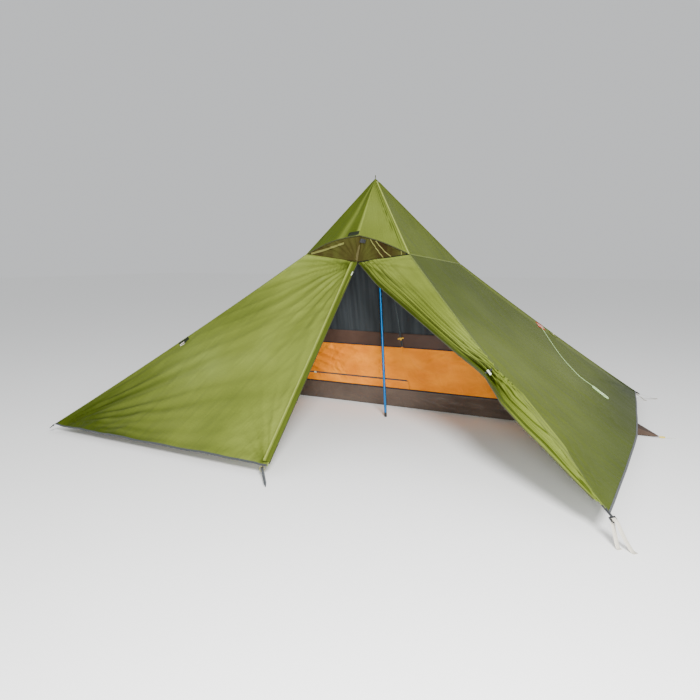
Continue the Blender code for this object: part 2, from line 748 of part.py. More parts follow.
def zip_frame():
    """Placement on the zip line: Y down the zip, X out of the panel's edge, Z off the cloth."""
    run = DOOR_FOOT - DOOR_TOP
    grid = door_panel_grid()
    middle = len(grid) // 2
    across = grid[middle][-1] - grid[middle][-2]
    y = unit(run)
    x = unit(across - y * across.dot(y))
    z = x.cross(y)
    if z.dot(FRONT) < 0:
        z = -z
    made = Matrix((x, y, z)).transposed().to_4x4()
    made.translation = DOOR_TOP
    return made, run.length


def fly_zip():
    """The zip's chain along the door's edge, with its slider and pull."""
    place, length = zip_frame()
    gap = ZIP_GAP
    chain_high = ZIP_THICKNESS / 2.0
    block("fly_zip_chain", place, (gap, ZIP_END, -chain_high - FABRIC / 2),
          (gap + ZIP_WIDTH, length - ZIP_END, chain_high - FABRIC / 2), ZIP_BLACK)
    lip = gap + SLIDER_LIP
    inner_x = gap + ZIP_WIDTH + SLIDER_GAP
    far_x = inner_x + SLIDER_WALL
    slot = chain_high + SLIDER_GAP
    outer = slot + SLIDER_WALL
    outline = ((lip, outer), (far_x, outer), (far_x, -outer), (lip, -outer), (lip, -slot),
               (inner_x, -slot), (inner_x, slot), (lip, slot))
    sections = []
    for y in (SLIDER_DOWN, SLIDER_DOWN + SLIDER_LENGTH):
        sections.append([place @ Vector((x, y, z - FABRIC / 2)) for x, z in outline])
    sweep("fly_zip_slider", sections, BLACK)
    pull_z = outer - FABRIC / 2 + RUN_GAP
    middle = gap + ZIP_WIDTH / 2.0
    start = SLIDER_DOWN + SLIDER_LENGTH * 0.5
    block("fly_zip_pull", place, (middle - PULL_WIDTH / 2, start, pull_z),
          (middle + PULL_WIDTH / 2, start + PULL_LENGTH, pull_z + PULL_THICKNESS), WHITE)


def vent_brace():
    """The stiff strap that props the hood, hinged behind the top of the zip."""
    foot = DOOR_TOP + Vector((-0.5 * BRACE_WIDTH, BRACE_INSIDE, -BRACE_BELOW))
    head = HOOD_PEAK + Vector((0.0, BRACE_FROM_BRIM, -BRACE_FROM_BRIM * 1.1))
    place = frame_at(foot, head - foot, Vector((0.0, -1.0, 0.0)))
    reach = (head - foot).length
    half = BRACE_WIDTH / 2.0
    block("vent_brace", place, (-half, 0.0, -BRACE_THICKNESS / 2),
          (half, reach, BRACE_THICKNESS / 2), GREEN)


FRONT_RIGHT = Vector((0.0, -0.69, 0.72))


def smooth_step(share):
    share = max(0.0, min(1.0, share))
    return share * share * (3.0 - 2.0 * share)


FLAP_ROWS = 30
FLAP_COLS = 14


def flap_free_edge(t, left):
    """The tied-back door's free edge, from the zip's top (0) past the tie to the corner (1)."""
    seam = ridge(CAP_FR, CORNER_FR, t)
    if t <= FLAP_TIE_SHARE:
        top = DOOR_TOP + Vector((FLAP_TOP_ASIDE, 0.0, 0.0))
        tie = ridge(CAP_FR, CORNER_FR, FLAP_TIE_SHARE) + left * FLAP_TIE_WIDTH
        droop = FLAP_EDGE_DROOP * smooth_step(t / FLAP_DROOP_SHARE) * (1.0 - t / FLAP_TIE_SHARE)
        return lerp(top, tie, t / FLAP_TIE_SHARE) + unit(DOOR_FOOT - DOOR_TOP) * droop
    stations = ((FLAP_TIE_SHARE, FLAP_TIE_WIDTH), (0.64, FLAP_BULGE_WIDTH), (0.73, FLAP_MIDDLE_WIDTH),
                (0.81, FLAP_LOW_WIDTH), (FLAP_END_SHARE, FLAP_TOE_WIDTH))
    for (t0, w0), (t1, w1) in zip(stations, stations[1:]):
        if t <= t1:
            return seam + left * lerp(w0, w1, (t - t0) / (t1 - t0))
    return seam + left * FLAP_TOE_WIDTH


def flap_row(t, left, over, right_out):
    """One row of the flap, from its edge over the right panel to its free edge."""
    seam = ridge(CAP_FR, CORNER_FR, t)
    free = flap_free_edge(t, left)
    reach = (free - seam).length
    side = unit(free - seam)
    front = unit(side.cross(unit(CORNER_FR - CAP_FR)))
    if front.dot(FRONT_RIGHT) < 0:
        front = -front
    low = smooth_step((t - FLAP_TIE_SHARE) / FLAP_TURN_SHARE)
    raised = smooth_step((t - FLAP_TIE_SHARE) / FLAP_RISE_SHARE + 1.4)
    tail = min(1.0, (0.99 - t) / FLAP_TAIL_SHARE)
    lap = FLAP_OVER * low * tail
    rise = unit(FRONT_RIGHT + right_out) * (FLAP_LIFT * raised * max(0.45, tail))
    swell = 1.0 + 0.8 * math.exp(-((t - FLAP_TIE_SHARE) / 0.10) ** 2)
    swell *= smooth_step(t / FLAP_SMOOTH_SHARE)
    row = []
    for c in range(FLAP_COLS + 1):
        s = c / FLAP_COLS
        place = lerp(-lap, reach, s)
        aside = side * place if place > 0 else over * -place
        near = place / reach
        fold = math.sin(2.0 * math.pi * FLAP_PLEATS * s + 0.6)
        deep = FLAP_PLEAT_HEIGHT * swell * max(0.0, near) ** 0.8
        deep *= min(1.0, reach / FLAP_FULL_REACH) * smooth_step(place / FLAP_FLAT)
        normal = front if place > 0 else right_out
        row.append(seam + aside + left * FLAP_SEAM_GAP + rise
                   + normal * (fold * deep - deep * 0.9 * (1.0 - low)))
    return row


def door_flap():
    """The open half of the door, gathered in pleats and tied back at the ridge."""
    right_out = panel_normal(CAP_FR, CORNER_FR, CORNER_BR, Vector((1.0, 0.0, 1.0)))
    along_ridge = unit(CORNER_FR - CAP_FR)
    left = unit(along_ridge.cross(FRONT_RIGHT))
    if left.x > 0:
        left = -left
    over = unit(along_ridge.cross(right_out))
    if over.y < 0:
        over = -over
    grid = [flap_row(r / FLAP_ROWS * FLAP_END_SHARE, left, over, right_out) for r in range(FLAP_ROWS + 1)]
    start = [unit(grid[1][c] - grid[0][c]) for c in range(FLAP_COLS + 1)]
    grid[0] = [p + d * FLAP_TOP_GAP for p, d in zip(grid[0], start)]
    cloth("fly_door_flap", grid, FRONT_RIGHT, GREEN)
    return grid


def door_tie(grid):
    """The toggle that holds the rolled door at the ridge, seated across the gathers."""
    row = round(FLAP_TIE_SHARE / FLAP_END_SHARE * FLAP_ROWS)
    crest = max(grid[row][FLAP_COLS // 2:], key=lambda p: p.dot(FRONT_RIGHT))
    along = unit(CORNER_FR - CAP_FR)
    centre = crest + unit(FRONT_RIGHT) * (TOGGLE_RADIUS + TOGGLE_SEAT)
    place = frame_at(centre, unit(FRONT_RIGHT), along)
    half = TOGGLE_LENGTH / 2.0
    r = TOGGLE_RADIUS
    profile = ((r * 0.55, -half), (r, -half * 0.8), (r * 0.8, 0.0), (r, half * 0.8), (r * 0.55, half))
    lathed("door_toggle", profile, place, CORD, steps=12)


def pole():
    """Four tube sections with their ferrules, the foot, the tip and the shock cord inside."""
    foot = Vector((POLE_FOOT_X, 0.0, 0.0))
    top = PEAK - Vector((0.0, 0.0, POLE_TOP_DROP))
    axis = unit(top - foot)
    length = (top - foot).length
    sway = math.degrees(math.atan2(POLE_FOOT_X, top.z))
    base = frame_at(foot, Vector((0.0, 1.0, 0.0)), axis)
    level = POLE_RADIUS * math.sin(math.radians(sway)) + 0.0002
    tube_start = level + POLE_FOOT_LENGTH
    tube_end = length - POLE_TIP_LENGTH - 0.006
    step = (tube_end - tube_start) / POLE_SECTIONS
    bore = POLE_RADIUS - POLE_WALL
    ferrule = bore - POLE_FIT
    ferrule_bore = ferrule - FERRULE_WALL
    half = FERRULE_LENGTH / 2.0
    for k in range(POLE_SECTIONS):
        low = tube_start + step * k + (SEAM_GAP if k else 0.0)
        high = tube_start + step * (k + 1)
        profile = [(POLE_RADIUS, low), (POLE_RADIUS, high)]
        if k < POLE_SECTIONS - 1:
            profile += [(ferrule, high), (ferrule, high + half), (ferrule_bore, high + half),
                        (ferrule_bore, high - half), (bore, high - half)]
        else:
            profile += [(bore, high)]
        profile += [(bore, low)]
        turned("pole_section_%d" % (k + 1), profile, base, BLUE)
    plug = bore - POLE_FIT
    skirt = POLE_PLUG
    foot_top = tube_start + skirt
    sole = ring_at(base, POLE_RADIUS * 0.85, 0.0)
    for point in sole:
        point.z = 0.0
    rings = [sole, ring_at(base, POLE_RADIUS, 0.004 + level), ring_at(base, POLE_RADIUS, tube_start - SEAM_GAP),
             ring_at(base, plug, tube_start - SEAM_GAP), ring_at(base, plug, foot_top)]
    sweep("pole_foot", rings, BLACK, smooth=True)
    tip_profile = ((plug, tube_end - skirt), (plug, tube_end + SEAM_GAP),
                   (POLE_RADIUS, tube_end + SEAM_GAP), (POLE_RADIUS * 0.9, tube_end + 0.005),
                   (POLE_TIP_RADIUS, tube_end + 0.006), (POLE_TIP_RADIUS, length - 0.0015),
                   (POLE_TIP_RADIUS * 0.7, length))
    lathed("pole_tip", tip_profile, base, BLACK)
    cord_route = [base @ Vector((0.0, 0.0, h)) for h in
                  np.linspace(foot_top + SEAM_GAP, tube_end - skirt - SEAM_GAP, 12)]
    cord("pole_shock_cord", cord_route, SHOCK_CORD_RADIUS * 2.0, WHITE)
    cup()


def cup():
    """The moulded socket under the cap's point and the webbing loop above it."""
    top = PEAK - Vector((0.0, 0.0, CUP_TOP_DROP))
    place = Matrix.Translation(top)
    bore = POLE_TIP_RADIUS + CUP_ROOM
    rim = max(CUP_TOP_RADIUS + CUP_FLARE * CUP_HEIGHT, bore + CUP_WALL)
    ceiling = CUP_TOP_DROP - POLE_TOP_DROP + RUN_GAP
    outline = ((CUP_TOP_RADIUS, 0.0), (rim, -CUP_HEIGHT), (bore, -CUP_HEIGHT), (bore, ceiling))
    sweep("apex_cup", [ring_at(place, radius, height) for radius, height in outline], BLACK, smooth=True)
    loop_place = Matrix.Translation(top + Vector((0.0, 0.0, RUN_GAP)))
    loop_place = loop_place @ Matrix.Rotation(math.radians(APEX_LOOP_TURN), 4, "Z")
    rise = CUP_TOP_DROP + APEX_LOOP_HEIGHT
    leg = APEX_LOOP_LEG
    wide = APEX_LOOP_EYE
    path = [(-leg, 0.0), (-leg, CUP_TOP_DROP - 0.003), (-wide, rise - wide * 2.6)]
    path += arc((0.0, rise - wide * 1.7), wide * 1.06, 190.0, -10.0, 8)
    path += [(wide, rise - wide * 2.6), (leg, CUP_TOP_DROP - 0.003), (leg, 0.0)]
    ribbon("apex_loop", loop_place, path, APEX_LOOP_WIDTH, APEX_LOOP_TAPE, GREY_TAPE)


def inner_front_y(z):
    """The inner front wall's Y at a height."""
    return INNER_FRONT - INNER_FRONT_LEAN * z


def inner_half_width(z):
    if z <= INNER_SHOULDER_HEIGHT:
        share = (z - TUB_HEIGHT) / (INNER_SHOULDER_HEIGHT - TUB_HEIGHT)
        return lerp(INNER_TUB_TOP_HALF_WIDTH, INNER_SHOULDER_HALF_WIDTH, share)
    share = (z - INNER_SHOULDER_HEIGHT) / (INNER_TOP_HEIGHT - INNER_SHOULDER_HEIGHT)
    return lerp(INNER_SHOULDER_HALF_WIDTH, INNER_TOP_HALF_WIDTH, share)


def inner_back_y(z):
    if z <= INNER_SHOULDER_HEIGHT:
        share = (z - TUB_HEIGHT) / (INNER_SHOULDER_HEIGHT - TUB_HEIGHT)
        return lerp(INNER_TUB_TOP_BACK, INNER_SHOULDER_BACK, share)
    share = (z - INNER_SHOULDER_HEIGHT) / (INNER_TOP_HEIGHT - INNER_SHOULDER_HEIGHT)
    return lerp(INNER_SHOULDER_BACK, INNER_TOP_BACK, share)


def zip_x(z):
    """The upright inner zip's X at a height."""
    return ZIP_LINE_X - ZIP_LINE_LEAN * z


def hinge_x(z):
    """The inner door's seam, from the sill past the shoulder to the zip's top."""
    beside = HINGE_FROM_EDGE - INNER_SHOULDER_HALF_WIDTH
    if z <= INNER_SHOULDER_HEIGHT:
        return lerp(HINGE_FOOT_X, beside, (z - SILL_TOP) / (INNER_SHOULDER_HEIGHT - SILL_TOP))
    share = (z - INNER_SHOULDER_HEIGHT) / (HINGE_TOP - INNER_SHOULDER_HEIGHT)
    return lerp(beside, zip_x(HINGE_TOP) - HINGE_FROM_ZIP, share)


def front_point(x, z):
    return Vector((x, inner_front_y(z), z))


def door_left(z):
    return hinge_x(z) + INNER_GAP * 2


def door_right(z):
    return zip_x(z) - INNER_GAP


def mesh_left(z):
    """The left edge of the fixed front mesh: the zip, and the left wall's corner above it."""
    if z <= HINGE_TOP:
        return zip_x(z) + INNER_GAP
    return SEAM_PULL * 2 - inner_half_width(z)


def mesh_right(z):
    return inner_half_width(z) - SEAM_PULL


def front_panel(name, heights, left, right, finish):
    """A flat piece of the inner front wall between two edge functions."""
    grid = [[front_point(left(z), z), front_point(right(z), z)] for z in heights]
    return cloth(name, grid, Vector((0.0, -1.0, 0.0)), finish)


def tub_loop(inset, z):
    """The four corners of the tub's wall at a height."""
    share = z / TUB_HEIGHT
    half = lerp(INNER_HALF_WIDTH, INNER_TUB_TOP_HALF_WIDTH, share) - inset
    front = lerp(INNER_FRONT, inner_front_y(TUB_HEIGHT), share) + inset
    back = lerp(INNER_BACK, INNER_TUB_TOP_BACK, share) - inset
    return [Vector((-half, front, z)), Vector((half, front, z)),
            Vector((half, back, z)), Vector((-half, back, z))]


def bathtub():
    """The coated floor with its low walls, open at the top."""
    rim = TUB_HEIGHT - INNER_GAP
    points = tub_loop(0.0, 0.0) + tub_loop(0.0, rim) + tub_loop(FABRIC, rim) + tub_loop(FABRIC, FABRIC)
    faces = [(0, 1, 2, 3), (12, 13, 14, 15)]
    for start in (0, 4, 8):
        for i in range(4):
            j = (i + 1) % 4
            faces.append((start + i, start + j, start + 4 + j, start + 4 + i))
    body("bathtub_floor", points, faces, BROWN)


def gusset(name, side):
    """A corner tie-out: the triangle of floor cloth that runs from the tub to its peg cord."""
    wall = INNER_HALF_WIDTH + GUSSET_GAP
    tip = Vector((side * (INNER_HALF_WIDTH + GUSSET_REACH), GUSSET_TIP_Y, 0.0065))
    low = Vector((side * wall, INNER_FRONT + 0.002, 0.0015))
    high_x = lerp(INNER_HALF_WIDTH, INNER_TUB_TOP_HALF_WIDTH, GUSSET_HEIGHT / TUB_HEIGHT)
    high = Vector((side * (high_x + GUSSET_GAP), INNER_FRONT - INNER_FRONT_LEAN * GUSSET_HEIGHT + 0.003,
                   GUSSET_HEIGHT))
    back_x = lerp(INNER_HALF_WIDTH, INNER_TUB_TOP_HALF_WIDTH, 0.85 * GUSSET_HEIGHT / TUB_HEIGHT)
    back = Vector((side * (back_x + GUSSET_GAP), GUSSET_SIDE_Y, GUSSET_HEIGHT * 0.85))
    rows = 5
    grid = []
    for r in range(rows + 1):
        k = r / rows
        shrink = lerp(1.0, GUSSET_BLUNT, k)
        row = [lerp(tip, p, shrink) for p in (low, high, back)]
        grid.append(row)
    cloth(name, grid, Vector((0.0, -0.7, 0.7)), BROWN)


def inner_tent():
    """Walls, door, zips and the top hook of the inner tent."""
    bathtub()
    gusset("corner_gusset_right", 1.0)
    gusset("corner_gusset_left", -1.0)
    front_orange()
    upper = (ORANGE_TOP + INNER_GAP, INNER_SHOULDER_HEIGHT, HINGE_TOP, INNER_TOP_HEIGHT)
    front_panel("inner_front_mesh", upper, mesh_left, mesh_right, MESH)
    front_panel("inner_door_orange", (SILL_TOP + INNER_GAP, ORANGE_TOP), door_left, door_right, ORANGE)
    front_panel("inner_door_mesh", (ORANGE_TOP + INNER_GAP, INNER_SHOULDER_HEIGHT, HINGE_TOP - 0.02),
                door_left, door_right, MESH)
    left_wall()
    right_wall()
    inner_zips()
    top_strap()


def front_orange():
    """The orange piece that is not part of the door: its sill and all to the right of the zip."""
    low = TUB_HEIGHT
    sill = SILL_TOP - INNER_GAP
    outline = [(-inner_half_width(low) + SILL_FROM_SIDE, low), (inner_half_width(low) - SEAM_PULL, low),
               (inner_half_width(ORANGE_TOP) - SEAM_PULL, ORANGE_TOP),
               (zip_x(ORANGE_TOP) + INNER_GAP, ORANGE_TOP), (zip_x(sill) + INNER_GAP, sill),
               (-inner_half_width(sill) + SILL_FROM_SIDE, sill)]
    out = unit(Vector((0.0, -1.0, -INNER_FRONT_LEAN)))
    sections = [[front_point(x, z) - out * d for x, z in outline] for d in (0.0, FABRIC)]
    sweep("inner_front_orange", sections, ORANGE)


def wall_levels():
    return (TUB_HEIGHT + FABRIC, ORANGE_TOP, INNER_SHOULDER_HEIGHT, INNER_TOP_HEIGHT)


def left_wall():
    """The left wall, with the strip of front wall that the door's seam is sewn to."""
    grid = []
    levels = (TUB_HEIGHT + INNER_GAP, SILL_TOP, ORANGE_TOP, INNER_SHOULDER_HEIGHT, HINGE_TOP, INNER_TOP_HEIGHT)
    for z in levels:
        edge = -inner_half_width(z)
        if z < SILL_TOP:
            seam = edge + SILL_FROM_SIDE - INNER_GAP * 2
        elif z <= HINGE_TOP:
            seam = hinge_x(z) - INNER_GAP
        else:
            seam = edge + SEAM_PULL
        grid.append([front_point(seam, z), front_point(edge, z),
                     Vector((edge, inner_back_y(z) - SEAM_PULL, z))])
    outer = []
    inner = []
    front_out = unit(Vector((0.0, -1.0, -INNER_FRONT_LEAN)))
    for r, row in enumerate(grid):
        side_out = unit(Vector((-0.66, 0.0, 0.75)))
        mitre = (front_out + side_out) / (1.0 + front_out.dot(side_out))
        outer.append(row)
        inner.append([row[0] - front_out * FABRIC, row[1] - mitre * FABRIC, row[2] - side_out * FABRIC])
    thick_sheet("inner_wall_left", outer, inner, MESH)


def right_wall():
    """The right wall and the back wall, one piece of mesh that turns the corner."""
    side_out = unit(Vector((0.66, 0.0, 0.75)))
    back_out = unit(Vector((0.0, 0.74, 0.67)))
    mitre = (side_out + back_out) / (1.0 + side_out.dot(back_out))
    outer = []
    inner = []
    for z in wall_levels():
        edge = inner_half_width(z)
        back = inner_back_y(z)
        row = [Vector((edge, inner_front_y(z) + FABRIC + INNER_CORNER_GAP, z)),
               Vector((edge, back, z)), Vector((SEAM_PULL - edge, back, z))]
        outer.append(row)
        inner.append([row[0] - side_out * FABRIC, row[1] - mitre * FABRIC, row[2] - back_out * FABRIC])
    thick_sheet("inner_wall_right_back", outer, inner, MESH)


def inner_zips():
    """The L-shaped zip on the front wall, its two sliders and their pulls."""
    out = unit(Vector((0.0, -1.0, -INNER_FRONT_LEAN)))
    w = INNER_ZIP / 2.0
    top = HINGE_TOP - INNER_ZIP_DOWN
    start = HINGE_FOOT_X + ZIP_END
    outline = [(start, SILL_TOP - w), (zip_x(SILL_TOP) + w, SILL_TOP - w), (zip_x(top) + w, top),
               (zip_x(top) - w, top), (zip_x(SILL_TOP) - w, SILL_TOP + w), (start, SILL_TOP + w)]
    lifts = (TRIM_GAP, TRIM_GAP + INNER_ZIP_THICKNESS)
    sections = [[front_point(x, z) + out * d for x, z in outline] for d in lifts]
    sweep("inner_zip_chain", sections, ZIP_BLACK)
    slider_lift = lifts[1] + RUN_GAP
    sheet_up = unit(front_point(zip_x(1.0), 1.0) - front_point(zip_x(0.5), 0.5))
    at = front_point(zip_x(INNER_SLIDER_HEIGHT), INNER_SLIDER_HEIGHT) + out * slider_lift
    place = frame_at(at, sheet_up, out)
    w = INNER_SLIDER_WIDTH / 2.0
    h = INNER_SLIDER_LENGTH / 2.0
    reach = INNER_TAB_REACH
    points = ((-w, -h), (w, -h), (w, 0.003), (reach - 0.004, 0.001), (reach, 0.006),
              (reach - 0.004, 0.010), (w, h), (-w, h), (0.004 - reach, 0.005), (-reach, 0.000),
              (0.004 - reach, -0.004), (-w, -0.002))
    sections = [[place @ Vector((x, y, z)) for x, y in points] for z in (0.0, INNER_SLIDER_HIGH)]
    sweep("inner_slider_upright", sections, YELLOW)
    at = front_point(SILL_SLIDER_X, SILL_TOP) + out * slider_lift
    place = frame_at(at, Vector((1.0, 0.0, 0.0)), out)
    block("inner_slider_sill", place, (-w, -h, 0.0), (w, h, INNER_SLIDER_HIGH), CORD)


def top_strap():
    """The strap that hangs the inner tent from the cap, behind the pole."""
    sewn = TOP_STRAP_SEWN
    foot = front_point(0.0, INNER_TOP_HEIGHT - sewn)
    rise = PEAK_HEIGHT - TOP_STRAP_DOWN - foot.z
    behind = FABRIC + INNER_GAP + STRAP_THICKNESS / 2.0
    path = [(behind, 0.0), (behind - INNER_FRONT_LEAN * sewn, sewn), (TOP_STRAP_BACK * 0.46, rise * 0.37),
            (TOP_STRAP_BACK, rise - sewn), (TOP_STRAP_BACK, rise)]
    place = Matrix.Translation(foot)
    ribbon("inner_top_strap", place, path, TOP_STRAP_WIDTH, STRAP_THICKNESS, GREY_TAPE)


def corner_place(top, corner):
    """A placement on a fly corner: Y along the ridge and out, Z off the cloth."""
    along = unit(corner - ridge(top, corner, 0.93))
    return frame_at(corner, along, Vector((0.0, 0.0, 1.0)))


def ladder_lock(tag, top, corner, with_strap):
    """Anchor webbing, ladder lock and peg strap at one corner."""
    place = corner_place(top, corner)
    bar = LOCK_BAR
    centre = (LOCK_OUT, 0.0)
    turn = bar * math.sqrt(0.5) + RUN_GAP + STRAP_THICKNESS / 2.0
    path = [(-ANCHOR_REACH, ANCHOR_LIFT), (-0.010, ANCHOR_LIFT), (0.002, ANCHOR_LIFT + 0.0006)]
    path += arc(centre, turn, 150.0, -170.0, 14)
    ribbon("corner_anchor_" + tag, place, path, ANCHOR_WIDTH, STRAP_THICKNESS, BLACK)
    tilt = place @ Matrix.Translation((0.0, centre[0], centre[1]))
    tilt = tilt @ Matrix.Rotation(math.radians(LOCK_TILT), 4, "X")
    half = LOCK_WIDTH / 2.0
    thick = bar / 2.0
    front = LOCK_LENGTH - bar / 2.0
    narrow = half * LOCK_CHAMFER
    outline = ((-half, -thick), (half, -thick), (half, front * 0.55), (narrow, front),
               (-narrow, front), (-half, front * 0.55))
    sections = [[tilt @ Vector((x, y, z)) for x, y in outline] for z in (-thick, thick)]
    lock = sweep("ladder_lock_" + tag, sections, BLACK)
    slots = []
    inside = half - LOCK_SIDE
    middle_bar = thick + LOCK_SLOT
    spans = ((thick, middle_bar), (middle_bar + bar, front - LOCK_FAR_BAR))
    for number, (low, high) in enumerate(spans):
        slots.append(block("cutter_%s_%d" % (tag, number), tilt, (-inside, low, -0.02),
                           (inside, high, 0.02), BLACK))
    cut(lock, slots)
    if not with_strap:
        return
    peg_strap(tag, corner, tilt @ Vector((0.0, middle_bar + thick, 0.0)))


def peg_strap(tag, corner, bar_at):
    """Webbing through a ladder lock: one end lies out towards its peg, the tail hangs beside it."""
    out = unit(Vector((corner.x, corner.y, 0.0)))
    place = frame_at(Vector((bar_at.x, bar_at.y, 0.0)), out, Vector((0.0, 0.0, 1.0)))
    high = bar_at.z
    rest = STRAP_THICKNESS / 2.0 + SEAM_GAP
    reach, tail = STRAP_REACH[tag]
    fan = STRAP_FAN
    path = [(fan, tail, rest), (fan * 0.9, tail * 0.75, rest + 0.004), (fan * 0.5, tail * 0.30, high * 0.50),
            (fan * 0.1, -0.001, high - 0.014)]
    path += [(0.0, y, z) for y, z in arc((0.0, high), STRAP_WRAP, 200.0, 25.0, 8)]
    path += [(-fan * 0.1, 0.018, high - 0.007), (-fan * 0.5, reach * 0.50, high * 0.42),
             (-fan * 0.9, reach * 0.78, rest + 0.006), (-fan, reach * 0.90, rest), (-fan, reach, rest)]
    flat = [place @ Vector(p) for p in path]
    across = place.to_3x3() @ Vector((1.0, 0.0, 0.0))
    sections = []
    for i, point in enumerate(flat):
        ahead = unit(flat[min(i + 1, len(flat) - 1)] - point) if i + 1 < len(flat) else None
        behind = unit(point - flat[i - 1]) if i else None
        along = unit((ahead or behind) + (behind or ahead))
        wide = unit(across - along * across.dot(along)) * (STRAP_WIDTH * 0.45)
        thick = unit(along.cross(wide)) * (STRAP_THICKNESS / 2.0)
        sections.append([point - wide - thick, point + wide - thick,
                         point + wide + thick, point - wide + thick])
    sweep("peg_strap_" + tag, sections, WEBBING)


def front_peg():
    """The V-section peg at the middle of the front, in the loop under the hem."""
    heading = unit(PEG_HEADING)
    centre = DOOR_FOOT + Vector((-LOOP_FROM_ZIP, -0.003, -LOOP_RADIUS - 0.0032))
    place = frame_at(centre, Vector((-heading.y, heading.x, 0.0)), Vector((0.0, 0.0, 1.0)))
    path = arc((0.0, 0.0), LOOP_RADIUS, 60.0, -270.0, 20)
    ribbon("front_peg_loop", place, path, LOOP_WIDTH, STRAP_THICKNESS, YELLOW)
    half = PEG_LEG * 0.62
    high = half * 0.55
    low = -half * 0.30
    inside = LOOP_RADIUS - STRAP_THICKNESS / 2.0 - PEG_SWING_ROOM
    roof = math.sqrt(inside ** 2 - half ** 2) - high - PEG_WALL - PEG_SLOPE_ROOM
    head = centre + Vector((0.0, 0.0, roof))
    drop = head.z - PEG_LEG * 0.25
    run = math.sqrt(PEG_LENGTH ** 2 - drop ** 2)
    tip = head + heading * run - Vector((0.0, 0.0, drop))
    back = head - unit(tip - head) * PEG_HEAD
    shaft = frame_at(back, tip - back, Vector((0.0, 0.0, 1.0)))
    length = (tip - back).length
    outline = ((-half, high), (-half, high + PEG_WALL), (0.0, low + PEG_WALL), (half, high + PEG_WALL),
               (half, high), (0.0, low))
    sections = []
    for y, k in ((0.0, 1.0), (length * 0.84, 1.0), (length, 0.28)):
        sections.append([shaft @ Vector((x * k, y, z * k)) for x, z in outline])
    sweep("ground_peg_front", sections, ALUMINIUM)


def ridge_patch(name, top, corner, left_out, right_out, finish):
    """A reinforcement that straddles a ridge where a guyline is tied."""
    t = GUY_ALONG
    centre = ridge(top, corner, t)
    along = unit(ridge(top, corner, t + 0.02) - ridge(top, corner, t - 0.02))
    legs = []
    for out in (left_out, right_out):
        other = right_out if out is left_out else left_out
        leg = along.cross(unit(out))
        if leg.dot(other) > 0:
            leg = -leg
        legs.append(unit(leg))
    mitre = (unit(left_out) + unit(right_out)) / (1.0 + unit(left_out).dot(unit(right_out)))
    low = PATCH_LIFT
    high = low + TRIM
    sections = []
    for d in (-PATCH_LENGTH / 2, PATCH_LENGTH / 2):
        at = centre + along * d
        row = [at + legs[0] * PATCH_LEG + unit(left_out) * high, at + mitre * high,
               at + legs[1] * PATCH_LEG + unit(right_out) * high,
               at + legs[1] * PATCH_LEG + unit(right_out) * low, at + mitre * low,
               at + legs[0] * PATCH_LEG + unit(left_out) * low]
        sections.append(row)
    sweep(name, sections, finish)


def panel_normal(a, b, c, hint):
    normal = unit((b - a).cross(c - a))
    return normal if normal.dot(hint) > 0 else -normal


def guying():
    """Ridge patches, the left cord loop and the right guyline with its hank."""
    front_out = panel_normal(CAP_FL, CORNER_FL, DOOR_FOOT, FRONT)
    left_out = panel_normal(CAP_FL, CORNER_FL, CORNER_BL, Vector((-1.0, 0.0, 1.0)))
    right_out = panel_normal(CAP_FR, CORNER_FR, CORNER_BR, Vector((1.0, 0.0, 1.0)))
    back_out = panel_normal(CAP_BR, CORNER_BR, CORNER_BL, Vector((0.0, 1.0, 1.0)))
    ridge_patch("guy_patch_left", CAP_FL, CORNER_FL, left_out, front_out, GREY_TAPE)
    ridge_patch("guy_patch_right", CAP_BR, CORNER_BR, right_out, back_out, PATCH)
    place = hank_place()
    points = hank_points(place)
    arrive = unit(points[0] - points[1])
    route = [on_right_panel(x, y, CORD_LIFT) for x, y in GUYLINE_ROUTE]
    route += [points[0] + arrive * (HANK_HALF_LENGTH * 0.55), points[0] + arrive * 0.006,
              points[0] + arrive * CORD_END_GAP]
    cord("guyline", smooth_route(route, CORD_DIAMETER * 3.5), CORD_DIAMETER, CORD)
    cord("guyline_hank", points, CORD_DIAMETER, CORD, resolution=1)
    print("hank: least gap to itself %.2f mm" % (least_self_gap(points, CORD_DIAMETER) * 1000))
    print("hank: %.2f m of cord" % sum((b - a).length for a, b in zip(points, points[1:])))


def right_panel_point(s, t):
    return side_point(CAP_FR, CORNER_FR, CAP_BR, CORNER_BR, s, t, Vector((1.0, 0.0, 0.0)))


def on_right_panel(x, y, lift):
    """The place on the right panel over (x, y), raised off it."""
    s, t = 0.5, 0.5
    step = 0.002
    for _ in range(12):
        here = right_panel_point(s, t)
        across = (right_panel_point(s + step, t) - here) / step
        down = (right_panel_point(s, t + step) - here) / step
        area = across.x * down.y - across.y * down.x
        dx = x - here.x
        dy = y - here.y
        s += (dx * down.y - dy * down.x) / area
        t += (dy * across.x - dx * across.y) / area
    normal = unit(across.cross(down))
    if normal.z < 0:
        normal = -normal
    return right_panel_point(s, t) + normal * lift


def hank_place():
    """The hank's placement: its long axis down the panel, its height off the cloth."""
    x, y = HANK_CENTRE
    along = Vector((*HANK_HEADING, 0.0)) * HANK_HALF_LENGTH * 0.7
    upper = on_right_panel(x - along.x, y - along.y, HANK_LIFT)
    lower = on_right_panel(x + along.x, y + along.y, HANK_LIFT)
    out = unit(on_right_panel(x, y, 1.0) - on_right_panel(x, y, 0.0))
    return frame_at((upper + lower) / 2.0, lower - upper, out)


def stadium(u, radius):
    """A point of a loop with straight runs and round ends, u going once round from 0 to 1."""
    part = int(u * 4.0) % 4
    share = u * 4.0 - int(u * 4.0)
    run = HANK_HALF_LENGTH - HANK_HALF_WIDTH
    if part == 0:
        return radius, lerp(-run, run, share)
    if part == 1:
        angle = math.pi * share
        return radius * math.cos(angle), run + radius * math.sin(angle)
    if part == 2:
        return -radius, lerp(run, -run, share)
    angle = math.pi * (1.0 + share)
    return radius * math.cos(angle), -run + radius * math.sin(angle)


